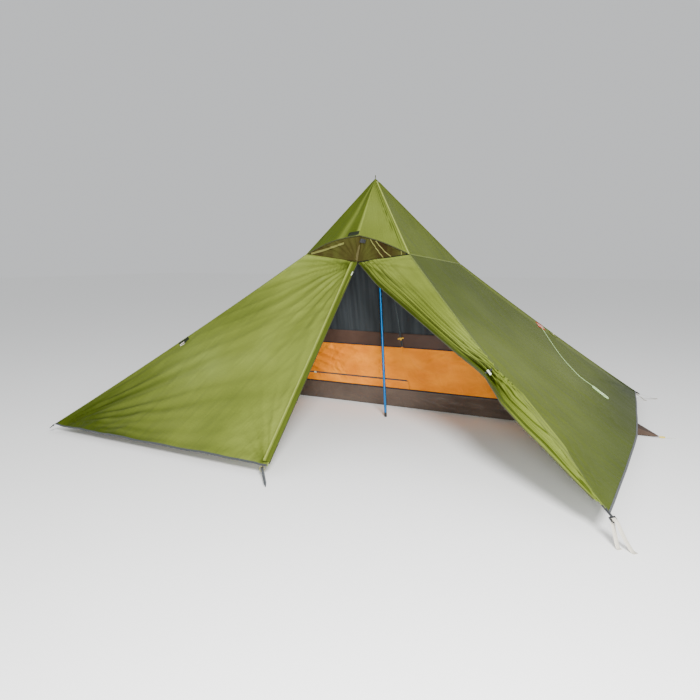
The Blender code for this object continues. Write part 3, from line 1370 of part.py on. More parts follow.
def hank_points(place):
    """One unbroken line of piled loops, drawn in at the waist."""
    found = []
    each = HANK_LOOPS // HANK_LAYERS
    total = HANK_LOOPS * HANK_POINTS
    for k in range(total + 1):
        turns = k / HANK_POINTS
        layer = min(HANK_LAYERS - 1, int(turns // each))
        inside = turns - layer * each
        offset = each - inside if layer % 2 == 0 else inside
        climb = min(1.0, inside / HANK_CLIMB) if layer else 0.0
        height = (layer - 1 + climb if layer else 0.0) * HANK_STEP
        x, y = stadium(turns % 1.0, HANK_HALF_WIDTH + HANK_STEP * offset)
        x -= math.copysign(HANK_WAIST * math.exp(-(y / HANK_WAIST_REACH) ** 2), x)
        found.append(place @ Vector((-x, y, height)))
    return found


def least_self_gap(points, diameter):
    """The least gap of a tube to itself, leaving out its near neighbours along it."""
    array = np.array([tuple(p) for p in points])
    least = 1.0
    skip = 6
    for i in range(len(array) - skip):
        apart = np.linalg.norm(array[i + skip:] - array[i], axis=1)
        least = min(least, float(apart.min()))
    return least - diameter


def tie_out():
    """The yellow toggle and white cord on the right gusset."""
    blunt = INNER_HALF_WIDTH + GUSSET_REACH * (1.0 - GUSSET_BLUNT)
    for tag, side in (("right", 1.0), ("left", -1.0)):
        at = Vector((side * (blunt + INNER_GAP * 2), GUSSET_TIP_Y, 0.0065))
        place = frame_at(at, Vector((side, 0.1, 0.0)), Vector((0.0, 0.0, 1.0)))
        outline = ((-0.004, -0.004), (0.004, -0.004), (0.005, 0.0), (0.004, 0.004), (-0.004, 0.004),
                   (-0.005, 0.0))
        sections = []
        for y, k in ((0.0, 0.8), (0.004, 1.0), (0.028, 1.0), (0.033, 0.7)):
            sections.append([place @ Vector((x * k, y, z * k)) for x, z in outline])
        sweep("tie_out_toggle_" + tag, sections, YELLOW)
    cord("tie_out_cord", smooth_route(CORNER_CORD_ROUTE, CORNER_CORD_DIAMETER * 2.5),
         CORNER_CORD_DIAMETER, WHITE)


def fly():
    """All fabric of the fly."""
    fly_cap()
    vent_screen()
    side_panel("fly_right_panel", CAP_FR, CORNER_FR, CAP_BR, CORNER_BR, Vector((1.0, 0.0, 0.0)),
               "hem_binding_right")
    side_panel("fly_back_panel", CAP_BR, CORNER_BR, CAP_BL, CORNER_BL, Vector((0.0, 1.0, 0.0)),
               "hem_binding_back")
    side_panel("fly_left_panel", CAP_BL, CORNER_BL, CAP_FL, CORNER_FL, Vector((-1.0, 0.0, 0.0)),
               "hem_binding_left")
    door_panel()
    door_tie(door_flap())


fly()
fly_zip()
vent_brace()
pole()
inner_tent()
ladder_lock("front_left", CAP_FL, CORNER_FL, False)
ladder_lock("front_right", CAP_FR, CORNER_FR, True)
ladder_lock("back_right", CAP_BR, CORNER_BR, True)
ladder_lock("back_left", CAP_BL, CORNER_BL, True)
front_peg()
guying()
tie_out()
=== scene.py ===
# %% [markdown]
# # A single-pole pyramid tent
#
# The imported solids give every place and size. This lesson dresses them: thin cloth with
# folds in place of the plain sheets, webbing, cords, zips, and a finish for every surface.

# %% Load the frame
import math

import bmesh
import bpy
import numpy as np
from mathutils import Matrix, Vector, noise


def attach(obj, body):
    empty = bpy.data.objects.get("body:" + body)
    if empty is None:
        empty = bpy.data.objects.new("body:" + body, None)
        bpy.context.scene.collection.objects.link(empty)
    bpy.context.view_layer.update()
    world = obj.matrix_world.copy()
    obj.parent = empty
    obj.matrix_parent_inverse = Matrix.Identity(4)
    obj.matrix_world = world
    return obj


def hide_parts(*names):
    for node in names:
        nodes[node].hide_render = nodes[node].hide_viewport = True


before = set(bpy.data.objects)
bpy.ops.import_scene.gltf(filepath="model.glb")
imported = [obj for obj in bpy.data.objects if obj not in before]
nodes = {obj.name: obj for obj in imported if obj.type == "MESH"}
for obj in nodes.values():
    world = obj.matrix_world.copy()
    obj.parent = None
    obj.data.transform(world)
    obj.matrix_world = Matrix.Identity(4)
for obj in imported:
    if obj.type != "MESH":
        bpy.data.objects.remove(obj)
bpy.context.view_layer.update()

# %% [markdown]
# ## Camera
#
# The photograph was taken from low down, to the right of the door. The camera's place, lens
# and tilt come from fitting the tent's corners to their places in the picture.

# %% Camera
EYE = Vector((1.709, -3.689, 1.083))
LOOK_DOWN, LOOK_LEFT = 8.74, 27.21  # degrees, from level and from straight ahead
SENSOR = 36.0  # mm
FOCAL_PIXELS, PICTURE_PIXELS = 600.5, 700.0

lens_data = bpy.data.cameras.new("camera")
lens_data.sensor_width = SENSOR
lens_data.lens = SENSOR * FOCAL_PIXELS / PICTURE_PIXELS
camera = bpy.data.objects.new("camera", lens_data)
camera.location = EYE
camera.rotation_euler = (math.radians(90.0 - LOOK_DOWN), 0.0, math.radians(LOOK_LEFT))
bpy.context.collection.objects.link(camera)
bpy.context.scene.camera = camera
print("lens: %.1f mm" % lens_data.lens)

# %% [markdown]
# ## Small helpers for places
#
# A tent is ruled by a few points: the peak, the ends of the cap's seams and the pegged
# corners. Ridges run between them, and each side of the fly is a surface between two ridges.

# %% Helpers for places
def V(*xyz):
    """A vector from its three numbers, in metres."""
    return Vector(xyz)


def mix(a, b, share):
    """The number or place that lies a share of the way from a to b."""
    return a + (b - a) * share


def ease(share):
    """A share from 0 to 1 that starts and ends gently."""
    share = max(0.0, min(1.0, share))
    return share * share * (3.0 - 2.0 * share)


def bump(x, middle, width):
    """1 in the middle, falling smoothly to 0."""
    return math.exp(-((x - middle) / width) ** 2)


PEAK = V(0.0, 0.0, 1.597)  # where the four ridges meet
# where each ridge leaves the cap: front left, front right, back right, back left
CAP = {"FL": V(-0.358, -0.290, 1.105), "FR": V(0.358, -0.290, 1.105),
       "BR": V(0.470, 0.385, 1.040), "BL": V(-0.470, 0.385, 1.040)}
# where each ridge ends at its peg
CORNER = {"FL": V(-1.598, -1.293, 0.054), "FR": V(1.598, -1.293, 0.109),
          "BR": V(1.598, 1.309, 0.070), "BL": V(-1.598, 1.309, 0.070)}
HOOD = V(0.0, -0.222, 1.222)  # the middle of the vent's brim
DOOR_TOP = V(-0.012, -0.244, 1.056)  # the top of the door's zip
DOOR_FOOT = V(0.030, -1.325, 0.055)  # its foot, at the front peg
RIDGE_SAG = 0.015  # at the middle of a ridge


def ridge(corner, t):
    """A point on a ridge seam, from the cap's seam (0) to the peg corner (1)."""
    point = mix(CAP[corner], CORNER[corner], t)
    return point - V(0.0, 0.0, RIDGE_SAG * 4.0 * t * (1.0 - t))


BULGE = 0.055  # how far the middle of a hem is pulled out
DISH = 0.018  # how deep a side is dished
MIDDLE_HEM = 0.080  # height of the middle of a hem
LEFT, BACK, RIGHT = V(-1, 0, 0), V(0, 1, 0), V(1, 0, 0)


def side_point(one, two, s, t, out, rounding=0.35):
    """A point of a side, s from ridge one to ridge two, t from the cap's seam to the hem. With
    no rounding its hem is two straight runs, as in the solid."""
    point = mix(ridge(one, t), ridge(two, t), s)
    middle = 1.0 - abs(2.0 * s - 1.0)
    middle = mix(middle, math.sin(math.pi * s), rounding)
    point = point + out * (BULGE * middle * t ** 3)
    point.z += (MIDDLE_HEM - mix(CORNER[one], CORNER[two], s).z) * middle * t ** 3
    dish = DISH * math.sin(math.pi * s) * math.sin(math.pi * min(t, 1.0))
    return point - out * (dish * 0.65) - V(0.0, 0.0, dish * 0.75)


def facing(v, hint):
    """A direction, or its opposite where that one faces the hint."""
    return v if v.dot(hint) > 0 else -v


print("ridge length: %.2f m" % (CORNER["FR"] - CAP["FR"]).length)

# %% [markdown]
# ## Material helpers
#
# Colours are written as the hex values that a picture editor shows, so they are turned from
# sRGB to the linear values that the renderer works in. One function adds any shader node.

# %% Material helpers
def srgb(text):
    """A hex colour as linear RGBA."""
    values = [int(text[i:i + 2], 16) / 255.0 for i in (1, 3, 5)]
    return (*[v / 12.92 if v <= 0.04045 else ((v + 0.055) / 1.055) ** 2.4 for v in values], 1.0)


def add(tree, kind, sets=None, **links):
    """One shader node. A key of sets that is the node's own property is set on it, and any
    other names an input. In links, i0 is the first input and Base_Color is Base Color."""
    made = tree.nodes.new("ShaderNode" + kind)
    for key, value in (sets or {}).items():
        if isinstance(key, str) and hasattr(made, key):
            setattr(made, key, value)
        else:
            made.inputs[key].default_value = value
    for key, source in links.items():
        name = int(key[1:]) if key[0] == "i" and key[1:].isdigit() else key.replace("_", " ")
        tree.links.new(source, made.inputs[name])
    return made


def finish_of(name, **values):
    """A material with one Principled shader, and its node tree."""
    made = bpy.data.materials.new(name)
    made.use_nodes = True
    shader = made.node_tree.nodes["Principled BSDF"]
    for key, value in values.items():
        shader.inputs[key.replace("_", " ")].default_value = value
    return made, made.node_tree, shader


def lay_on(tree, shader, tone, height=None, strength=0.0, distance=0.0):
    """Joins a colour to the shader, and a bump where the surface has a height."""
    tree.links.new(tone, shader.inputs["Base Color"])
    if height is not None:
        relief = add(tree, "Bump", {"Strength": strength, "Distance": distance}, Height=height)
        tree.links.new(relief.outputs["Normal"], shader.inputs["Normal"])


def ramp(tree, source, stops):
    """A colour ramp fed by a value."""
    made = add(tree, "ValToRGB")
    tree.links.new(source, made.inputs["Fac"])
    steps = made.color_ramp.elements
    while len(steps) < len(stops):
        steps.new(0.5)
    for step, (at, colour) in zip(steps, stops):
        step.position = at
        step.color = srgb(colour) if isinstance(colour, str) else (colour, colour, colour, 1.0)
    return made.outputs["Color"]


def grid_lines(tree, coordinate, pitch, width):
    """1 on the lines of a square grid of that pitch, 0 off them, from a place in metres."""
    scaled = add(tree, "VectorMath", {"operation": "SCALE", "Scale": 1.0 / pitch})
    tree.links.new(coordinate, scaled.inputs[0])
    part = add(tree, "VectorMath", {"operation": "FRACTION"})
    tree.links.new(scaled.outputs[0], part.inputs[0])
    split = add(tree, "SeparateXYZ", Vector=part.outputs[0])
    lines = []
    for axis in ("X", "Y"):
        near = add(tree, "Math", {"operation": "LESS_THAN", 1: width / pitch},
                   i0=split.outputs[axis])
        lines.append(near.outputs[0])
    both = add(tree, "Math", {"operation": "MAXIMUM"}, i0=lines[0], i1=lines[1])
    return both.outputs[0]

# %% [markdown]
# ## Cords
#
# A cord follows a route, a row of points at even steps on a smooth curve. A skin joins
# matching outlines along a route. It serves for tubes here and for flat strips later.

# %% Routes
def smooth_route(points, spacing):
    """Evenly spaced points of a smooth curve through the given ones."""
    places = [Vector(p) for p in points]
    padded = [places[0] * 2 - places[1]] + places + [places[-1] * 2 - places[-2]]
    fine = []
    for i in range(1, len(padded) - 2):
        a, b, c, d = padded[i - 1:i + 3]
        for k in range(16):
            t = k / 16.0
            fine.append(0.5 * (2 * b + (c - a) * t + (2 * a - 5 * b + 4 * c - d) * t * t
                               + (3 * b - a - 3 * c + d) * t ** 3))
    fine.append(places[-1])
    length = sum((fine[i + 1] - fine[i]).length for i in range(len(fine) - 1))
    count = max(2, round(length / spacing))
    found = [fine[0]]
    walked = 0.0
    wanted = length / count
    for i in range(len(fine) - 1):
        step = (fine[i + 1] - fine[i]).length
        while walked + step >= wanted * len(found) - 1e-9 and len(found) < count:
            found.append(mix(fine[i], fine[i + 1], (wanted * len(found) - walked) / step))
        walked += step
    return found + [fine[-1]]


def step_at(route, i):
    """From the point before a place of a route to the point after it."""
    return route[min(i + 1, len(route) - 1)] - route[max(i - 1, 0)]


def route_length(points):
    """The length of a route through all its points."""
    return sum((b - a).length for a, b in zip(points, points[1:]))

# %% Skins and tubes
def put_down(name, mesh, finish):
    """A smooth mesh with its finish, put in the scene."""
    mesh.materials.append(finish)
    mesh.update()
    mesh.shade_smooth()
    made = bpy.data.objects.new(name, mesh)
    bpy.context.collection.objects.link(made)
    return made


CREASE_ANGLE = math.radians(50)  # sharper edges than this stay sharp


def section_sweep(name, sections, finish, body):
    """A skin through matching closed outlines, capped at its ends, with a UV map in metres."""
    size = len(sections[0])
    points = [p for section in sections for p in section]
    faces = []
    uv = []
    along = [0.0]
    for a, b in zip(sections, sections[1:]):
        along.append(along[-1] + (b[0] - a[0]).length)
    around = [0.0]
    for i in range(size):
        around.append(around[-1] + (sections[0][(i + 1) % size] - sections[0][i]).length)
    for k in range(len(sections) - 1):
        for i in range(size):
            j = (i + 1) % size
            faces.append((k * size + i, k * size + j, (k + 1) * size + j, (k + 1) * size + i))
            uv += [(around[i], along[k]), (around[i + 1], along[k])]
            uv += [(around[i + 1], along[k + 1]), (around[i], along[k + 1])]
    last = (len(sections) - 1) * size
    faces.append(tuple(reversed(range(size))))
    faces.append(tuple(range(last, last + size)))
    uv += [(around[i], 0.0) for i in reversed(range(size))]
    uv += [(around[i], along[-1]) for i in range(size)]
    mesh = bpy.data.meshes.new(name)
    mesh.from_pydata([tuple(p) for p in points], [], faces)
    mesh.uv_layers.new(name="cloth").data.foreach_set("uv", [v for pair in uv for v in pair])
    made = put_down(name, mesh, finish)
    mesh.set_sharp_from_angle(angle=CREASE_ANGLE)
    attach(made, body)
    return made


def tube(name, route, diameter, finish, body, sides=10):
    """A round tube along a route, its sections carried along without twist, its ends drawn in."""
    ahead = (route[1] - route[0]).normalized()
    side = ahead.orthogonal().normalized()
    sections = []
    for i, point in enumerate(route):
        here = step_at(route, i).normalized()
        side = (side - here * side.dot(here)).normalized()
        up = here.cross(side)
        shrink = 0.6 if i in (0, len(route) - 1) else 1.0
        ring = [point + (side * math.cos(a) + up * math.sin(a)) * (diameter / 2.0 * shrink)
                for a in (2.0 * math.pi * n / sides for n in range(sides))]
        sections.append(ring)
    return section_sweep(name, sections, finish, body)

# %% [markdown]
# Guyline is a braided sheath over straight core yarns, 3 mm thick. The braid is drawn from
# the tube's UV map: crossing diagonal bands, a few millimetres long. The bands are drawn
# three times as coarse as real ones, or they would vanish.

# %% Braided cord
BRAID_PITCH = 0.004  # from one band to the next along the cord
BRAID_STRANDS = 3  # bands that go round it each way


def braid(name, light, dark, diameter):
    """A braided polyester sheath. Its crossing bands make the cord look speckled and dull."""
    turn_rate = 2.0 * math.pi * BRAID_STRANDS / (math.pi * diameter)
    made, tree, shader = finish_of(name, Roughness=0.7, Sheen_Weight=0.15)
    where = add(tree, "TexCoord")
    split = add(tree, "SeparateXYZ", Vector=where.outputs["UV"])
    bands = []
    for sign in (1.0, -1.0):
        turn = add(tree, "Math", {"operation": "MULTIPLY", 1: sign * turn_rate},
                   i0=split.outputs["X"])
        run = add(tree, "Math", {"operation": "MULTIPLY_ADD", 1: 2.0 * math.pi / BRAID_PITCH},
                  i0=split.outputs["Y"], i2=turn.outputs[0])
        bands.append(add(tree, "Math", {"operation": "SINE"}, i0=run.outputs[0]).outputs[0])
    both = add(tree, "Math", {"operation": "MULTIPLY"}, i0=bands[0], i1=bands[1])
    lifted = add(tree, "Math", {"operation": "MULTIPLY_ADD", 1: 0.5, 2: 0.5}, i0=both.outputs[0])
    tone = ramp(tree, lifted.outputs[0], ((0.2, dark), (0.65, light)))
    lay_on(tree, shader, tone, lifted.outputs[0], 0.5, 0.0006)
    return made


GUY_CORD, PULL_CORD = 0.0030, 0.0025  # diameters
guy_green = braid("braided_polyester_cord_pale_green", "#CBE6AA", "#7FA565", GUY_CORD)
cord_white = braid("braided_polyester_cord_white", "#E6E8DF", "#B9BCB0", PULL_CORD)
print("cords: braided sheaths %.1f and %.1f mm thick" % (GUY_CORD * 1000, PULL_CORD * 1000))

# %% [markdown]
# ## The guyline and its hank
#
# The guyline lies on the right side of the fly, so its places are found on that surface.

# %% Places on the right side
def side_at(side, x, y, lift):
    """The place on a side of the canopy over (x, y), raised off it."""
    s, t, step = 0.5, 0.5, 0.002
    for _ in range(12):
        here = side(s, t)
        across = (side(s + step, t) - here) / step
        down = (side(s, t + step) - here) / step
        area = across.x * down.y - across.y * down.x
        dx, dy = x - here.x, y - here.y
        s += (dx * down.y - dy * down.x) / area
        t += (dy * across.x - dx * across.y) / area
    return side(s, t) + facing(across.cross(down).normalized(), V(0, 0, 1)) * lift


def right_side(s, t):
    """The even surface of the right side, dished as the solid is."""
    return side_point("FR", "BR", s, t, RIGHT, 0.0)


def frame_at(origin, along, up):
    """A placement with Y along a direction and Z as near as can be to up."""
    y = along.normalized()
    x = y.cross(up).normalized()
    made = Matrix((x, y, x.cross(y))).transposed().to_4x4()
    made.translation = origin
    return made

# %% [markdown]
# The guyline ends in a hank: three loops side by side, three more on top, drawn in at the
# waist by a tie. The loops have straight runs and round ends.

# %% Shape of the hank
HANK_HALF_LONG, HANK_HALF_WIDE = 0.052, 0.0085
HANK_STEP = 0.0038  # from a loop to the next, and from layer to layer
HANK_LOOPS, HANK_LAYERS = 6, 2
HANK_POINTS = 24  # along each loop
HANK_CLIMB = 0.22  # share of a loop in which the cord climbs
HANK_WAIST, HANK_WAIST_REACH = 0.0030, 0.016  # how far it is drawn in, and along what length
HANK_CENTRE = (1.415, 0.345)  # seen from above
HANK_HEADING = V(1.0, 0.02, 0.0)
HANK_LIFT = 0.0036  # the lower layer's middle off the cloth


def stadium(u, radius):
    """A point of a loop with straight runs and round ends, u from 0 to 1 once round it."""
    part, share = int(u * 4.0) % 4, u * 4.0 - int(u * 4.0)
    run = HANK_HALF_LONG - HANK_HALF_WIDE
    if part in (0, 2):
        sign = 1.0 if part == 0 else -1.0
        return sign * radius, sign * mix(-run, run, share)
    angle = math.pi * (share if part == 1 else 1.0 + share)
    return radius * math.cos(angle), (run if part == 1 else -run) + radius * math.sin(angle)


def hank_points():
    """The wound cord's centreline, and the placement of the hank on the cloth."""
    x, y = HANK_CENTRE
    along = HANK_HEADING * HANK_HALF_LONG * 0.7
    upper = side_at(right_side, x - along.x, y - along.y, HANK_LIFT)
    lower = side_at(right_side, x + along.x, y + along.y, HANK_LIFT)
    out = (side_at(right_side, x, y, 1.0) - side_at(right_side, x, y, 0.0)).normalized()
    place = frame_at((upper + lower) / 2.0, lower - upper, out)
    each = HANK_LOOPS // HANK_LAYERS
    found = []
    for k in range(HANK_LOOPS * HANK_POINTS + 1):
        turns = k / HANK_POINTS
        layer = min(HANK_LAYERS - 1, int(turns // each))
        inside = turns - layer * each
        offset = inside if layer else each - inside
        height = (layer - 1 + min(1.0, inside / HANK_CLIMB) if layer else 0.0) * HANK_STEP
        x, y = stadium(turns % 1.0, HANK_HALF_WIDE + HANK_STEP * offset)
        x -= math.copysign(HANK_WAIST * math.exp(-(y / HANK_WAIST_REACH) ** 2), x)
        found.append(place @ V(-x, y, height))
    return found, place

# %% [markdown]
# The guyline leaves its patch near the back-right ridge. It is one cord, so one centreline
# runs through the free part and every loop, on the points that the solid was drawn from.

# %% Guyline and hank
hank, hank_place = hank_points()
arrive = (hank[0] - hank[1]).normalized()
CORD_LIFT = 0.0021  # the free part's middle off the cloth
GUYLINE_ROUTE = ((0.972, 0.730), (1.010, 0.680), (1.060, 0.605), (1.120, 0.515), (1.180, 0.440),
                 (1.240, 0.388), (1.290, 0.355))
lead = [side_at(right_side, x, y, CORD_LIFT) for x, y in GUYLINE_ROUTE]
lead += [hank[0] + arrive * (HANK_HALF_LONG * 0.55), hank[0] + arrive * 0.006]
lead = smooth_route(lead, 0.0105)
guy_points = lead + hank
guyline = tube("guyline_with_hank", guy_points, GUY_CORD, guy_green, "tent", sides=8)
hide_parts("guyline", "guyline_hank")
# The tie goes once and a half round the waist: a share of its half width, and a height.
TIE_HALF_WIDE = 0.0155
TIE_START, TIE_PITCH = 0.004, 0.0012  # where it starts along the hank, and its advance
TIE_ROUND = ((0.0, -0.0012), (1.35, -0.0006), (1.50, 0.0035), (1.2, 0.0062), (0.0, 0.0078),
             (-1.2, 0.0062), (-1.50, 0.0035), (-1.35, -0.0006), (0.0, -0.0012), (1.35, -0.0006),
             (1.50, 0.0035), (1.2, 0.0062), (0.2, 0.0090), (0.5, 0.0105))
waist = [hank_place @ V(x * TIE_HALF_WIDE, TIE_START + TIE_PITCH * n, z)
         for n, (x, z) in enumerate(TIE_ROUND)]
tie = tube("guyline_hank_tie", smooth_route(waist, 0.003), 0.0024, cord_white, "tent", sides=8)
print("guyline: %.2f m, of which %.2f m is wound" % (route_length(guy_points), route_length(hank)))

# %% [markdown]
# The inner tent's right corner is pulled out by a toggle. A short white cord hangs from it
# and lies on the ground, on the points that its solid has.

# %% Tie-out cord
TIE_OUT_ROUTE = ((1.8010, 0.3133, 0.0066), (1.8160, 0.3150, 0.0060), (1.8320, 0.3200, 0.0035),
                 (1.8480, 0.3290, 0.0018), (1.8620, 0.3340, 0.0018), (1.8760, 0.3350, 0.0018))
tail = smooth_route(TIE_OUT_ROUTE, 0.0045)
tail_cord = tube("tie_out_cord_white", tail, PULL_CORD, cord_white, "tent", sides=10)
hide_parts("tie_out_cord")
print("tie-out cord: %.3f m" % route_length(tail))

# %% [markdown]
# ## Finishes of the trim
#
# Webbing and tapes are woven from polyester, which gives the eye dull ribs across the strip
# and a fine grain along it. The pattern follows the strip through its UV map. Real ribs are
# 1 mm apart. They are drawn 3 mm apart on webbing and 2 mm on zip tape, or they would vanish.

# %% Woven strips
def webbing(name, base, deep, pitch=0.0030):
    """Woven polyester strip, ribs a pitch apart."""
    made, tree, shader = finish_of(name, Roughness=0.78, Sheen_Weight=0.12, Specular_IOR_Level=0.25)
    where = add(tree, "TexCoord")
    split = add(tree, "SeparateXYZ", Vector=where.outputs["UV"])
    run = add(tree, "Math", {"operation": "MULTIPLY", 1: 2.0 * math.pi / pitch},
              i0=split.outputs["Y"])
    ribs = add(tree, "Math", {"operation": "SINE"}, i0=run.outputs[0])
    turn = add(tree, "Math", {"operation": "MULTIPLY", 1: 2.0 * math.pi / (pitch * 0.7)},
               i0=split.outputs["X"])
    warp = add(tree, "Math", {"operation": "SINE"}, i0=turn.outputs[0])
    both = add(tree, "Math", {"operation": "MULTIPLY"}, i0=ribs.outputs[0], i1=warp.outputs[0])
    weave = add(tree, "Math", {"operation": "MULTIPLY_ADD", 1: 0.5, 2: 0.5}, i0=both.outputs[0])
    tone = ramp(tree, weave.outputs[0], ((0.15, deep), (0.7, base)))
    lay_on(tree, shader, tone, weave.outputs[0], 0.4, 0.0004)
    return made


white_webbing = webbing("woven_polyester_webbing_white", "#CFCABC", "#A29C8C")
dark_webbing = webbing("woven_polyester_webbing_black", "#26282A", "#17181A")
grey_webbing = webbing("woven_polyester_tape_grey", "#3C3F42", "#2D3032")
yellow_webbing = webbing("woven_polyester_webbing_olive_yellow", "#8E8638", "#6B662A")
zip_tape = webbing("woven_zip_tape_dark_olive", "#3A3D1C", "#2A2C15", 0.002)
zip_tape_grey = webbing("woven_zip_tape_blue_grey", "#414A50", "#333B40", 0.002)

# %% [markdown]
# Coated nylon is woven and then coated on its inside, which gives a smooth face with a soft
# gloss that shows every crease. The mosquito mesh is a knitted net, far too fine to draw
# thread by thread, so it is a dark matt sheet with long upright streaks of painted shade where it
# hangs in folds. They share one recipe: a slow drift of tone, and creases as a bump. Their colours,
# their gloss, the stretch of the drift and the number of creases in a metre differ.

# %% Plain cloths
def plain_cloth(name, base, deep, rough=0.5, stretch=(3.0, 3.0, 3.0), crease=0.15, gloss=0.3,
                folds=38.0):
    """Coated cloth or net, with folds creases in a metre."""
    made, tree, shader = finish_of(name, Roughness=rough, Specular_IOR_Level=gloss)
    where = add(tree, "TexCoord")
    sized = add(tree, "Mapping", {"Scale": stretch}, Vector=where.outputs["Object"])
    drift = add(tree, "TexNoise", {"Scale": 1.0, "Detail": 3.0}, Vector=sized.outputs["Vector"])
    tone = ramp(tree, drift.outputs["Fac"], ((0.35, deep), (0.65, base)))
    fine = add(tree, "TexNoise", {"Scale": folds, "Detail": 3.0, "Distortion": 0.8},
               Vector=where.outputs["Object"])
    lay_on(tree, shader, tone, fine.outputs["Fac"], crease, 0.15 / folds)
    return made


orange = plain_cloth("ripstop_nylon_orange", "#F09018", "#D97A10", crease=1.0, gloss=0.15,
                     stretch=(5.0, 3.0, 9.0), folds=9.0)
tub_cloth = plain_cloth("coated_nylon_brown", "#54463C", "#3F342C", rough=0.32, gloss=0.6,
                        crease=0.7, folds=13.0)
gusset_brown = plain_cloth("coated_nylon_brown_matt", "#55463C", "#42352D", rough=0.6, gloss=0.1)
# The mesh's drift is stretched into upright streaks: painted shade of its folds.
mesh_cloth = plain_cloth("knitted_mosquito_mesh_charcoal", "#353A3D", "#25292C", rough=0.85,
                         stretch=(26.0, 6.0, 1.2))
brown_band = plain_cloth("coated_nylon_dark_brown", "#523D33", "#402F27", crease=0.25)
screen_cloth = plain_cloth("knitted_mesh_brown_olive", "#3C3D18", "#281A0A", rough=0.8,
                           stretch=(9.0, 3.0, 3.0), gloss=0.06)
fly_inside = plain_cloth("nylon_tape_pale_green", "#6C6D3A", "#56562B", rough=0.6, gloss=0.1)
brace_cloth = plain_cloth("nylon_webbing_olive_brown", "#4F4A24", "#3C3518", rough=0.6)
dark_patch = plain_cloth("nylon_patch_dark_green", "#23291A", "#171B12", rough=0.6, gloss=0.1)
red_patch = plain_cloth("nylon_patch_red", "#D23A30", "#B92F27", rough=0.6, gloss=0.1)

# %% [markdown]
# Felled seams are four layers of fly cloth with two rows of stitches, so the eye gets a
# narrow raised strip with a dotted line along each edge. Real stitches are 3 mm long. They
# are drawn 6 mm apart and thick, so that they can be made out.

# %% Seam finish
SEAM = 0.009  # width of a felled seam
STITCH_INSET, STITCH_THICK = 0.0016, 0.0004  # the row from the seam's edge, and half a thread
STITCH_PITCH, STITCH_LONG = 0.006, 0.0044


def felled_seam(name, base, thread):
    """Folded fly cloth with a row of stitches near each edge."""
    made, tree, shader = finish_of(name, Roughness=0.5, Specular_IOR_Level=0.22, Sheen_Weight=0.04)
    where = add(tree, "TexCoord")
    split = add(tree, "SeparateXYZ", Vector=where.outputs["UV"])
    mirrored = add(tree, "Math", {"operation": "PINGPONG", 1: SEAM / 2.0}, i0=split.outputs["X"])
    row = add(tree, "Math", {"operation": "COMPARE", 1: STITCH_INSET, 2: STITCH_THICK},
              i0=mirrored.outputs[0])
    step = add(tree, "Math", {"operation": "PINGPONG", 1: STITCH_PITCH / 2.0},
               i0=split.outputs["Y"])
    dash = add(tree, "Math", {"operation": "LESS_THAN", 1: STITCH_LONG / 2.0}, i0=step.outputs[0])
    both = add(tree, "Math", {"operation": "MULTIPLY"}, i0=row.outputs[0], i1=dash.outputs[0])
    tone = ramp(tree, both.outputs[0], ((0.0, base), (1.0, thread)))
    lay_on(tree, shader, tone, both.outputs[0], 0.3, 0.0005)
    return made


seam_cloth = felled_seam("felled_seam_green", "#545F22", "#848E4C")
# A paler copy of the seam finish: a painted highlight for the seams that catch the light.
seam_painted_highlight = felled_seam("felled_seam_green_painted_highlight", "#7A853A", "#98A05A")

# %% [markdown]
# Buckles, sliders, pulls and toggles are injection-moulded acetal, which gives a waxy gloss
# with a faint grain from the mould. The pole is aluminium tube, drawn through a die and
# anodised, which gives a coloured metal with streaks along it. The peg is bare aluminium.

# %% Hard finishes
MOULD_GRAIN = 900.0  # grains in a metre, about 1 mm each


def moulded(name, base, deep, rough=0.38):
    """Injection-moulded acetal."""
    made, tree, shader = finish_of(name, Roughness=rough)
    where = add(tree, "TexCoord")
    grain = add(tree, "TexNoise", {"Scale": MOULD_GRAIN, "Detail": 2.0},
                Vector=where.outputs["Object"])
    tone = ramp(tree, grain.outputs["Fac"], ((0.3, deep), (0.7, base)))
    lay_on(tree, shader, tone, grain.outputs["Fac"], 0.15, 0.0003)
    return made


def drawn_metal(name, base, deep, rough, scale):
    """Aluminium drawn through a die, its streaks long where the scale is small."""
    made, tree, shader = finish_of(name, Metallic=0.9, Roughness=rough)
    where = add(tree, "TexCoord")
    drawn = add(tree, "Mapping", {"Scale": scale}, Vector=where.outputs["Object"])
    streaks = add(tree, "TexNoise", {"Scale": 3.0, "Detail": 2.0}, Vector=drawn.outputs["Vector"])
    lay_on(tree, shader, ramp(tree, streaks.outputs["Fac"], ((0.3, deep), (0.7, base))))
    return made


acetal = moulded("moulded_acetal_black", "#212224", "#151617")
acetal_zip = moulded("moulded_acetal_zip_coil", "#34371E", "#24260F", 0.45)
acetal_yellow = moulded("moulded_acetal_yellow", "#DCC53A", "#C7AF2C")
acetal_orange = moulded("moulded_acetal_amber", "#E8B52E", "#D39A1A")
acetal_pale = moulded("moulded_acetal_pale_green", "#D3DDC2", "#BAC6A8")
anodised = drawn_metal("anodised_aluminium_blue", "#2E86D0", "#1F6AAE", 0.32, (90.0, 90.0, 2.0))
bare_metal = drawn_metal("bare_aluminium_grey", "#A0A3A6", "#85888B", 0.42, (60.0, 60.0, 4.0))
print("finishes:", len(bpy.data.materials))

# %% [markdown]
# ## Fly cloth
#
# The fly is silicone-coated ripstop nylon, woven and then dipped, which leaves a satin face
# with soft highlights. Its ripstop squares are 5 mm, too fine for the picture, so they are
# drawn 20 mm apart and faint. The cloth carries a UV map in metres, so the squares follow it.
# Tent cloth lets light through. An attribute darkens the sheet with painted shade where the cloth
# is doubled, where little light falls on its inside, in creases and at corners, and less in a strip
# by a ridge, which shows as a painted sheen. Fine creases that run down the pull are a bump,
# stretched seven times longer than wide.

# %% Fly cloth finish
SQUARE, SQUARE_LINE = 0.020, 0.0022  # ripstop squares and their thicker threads


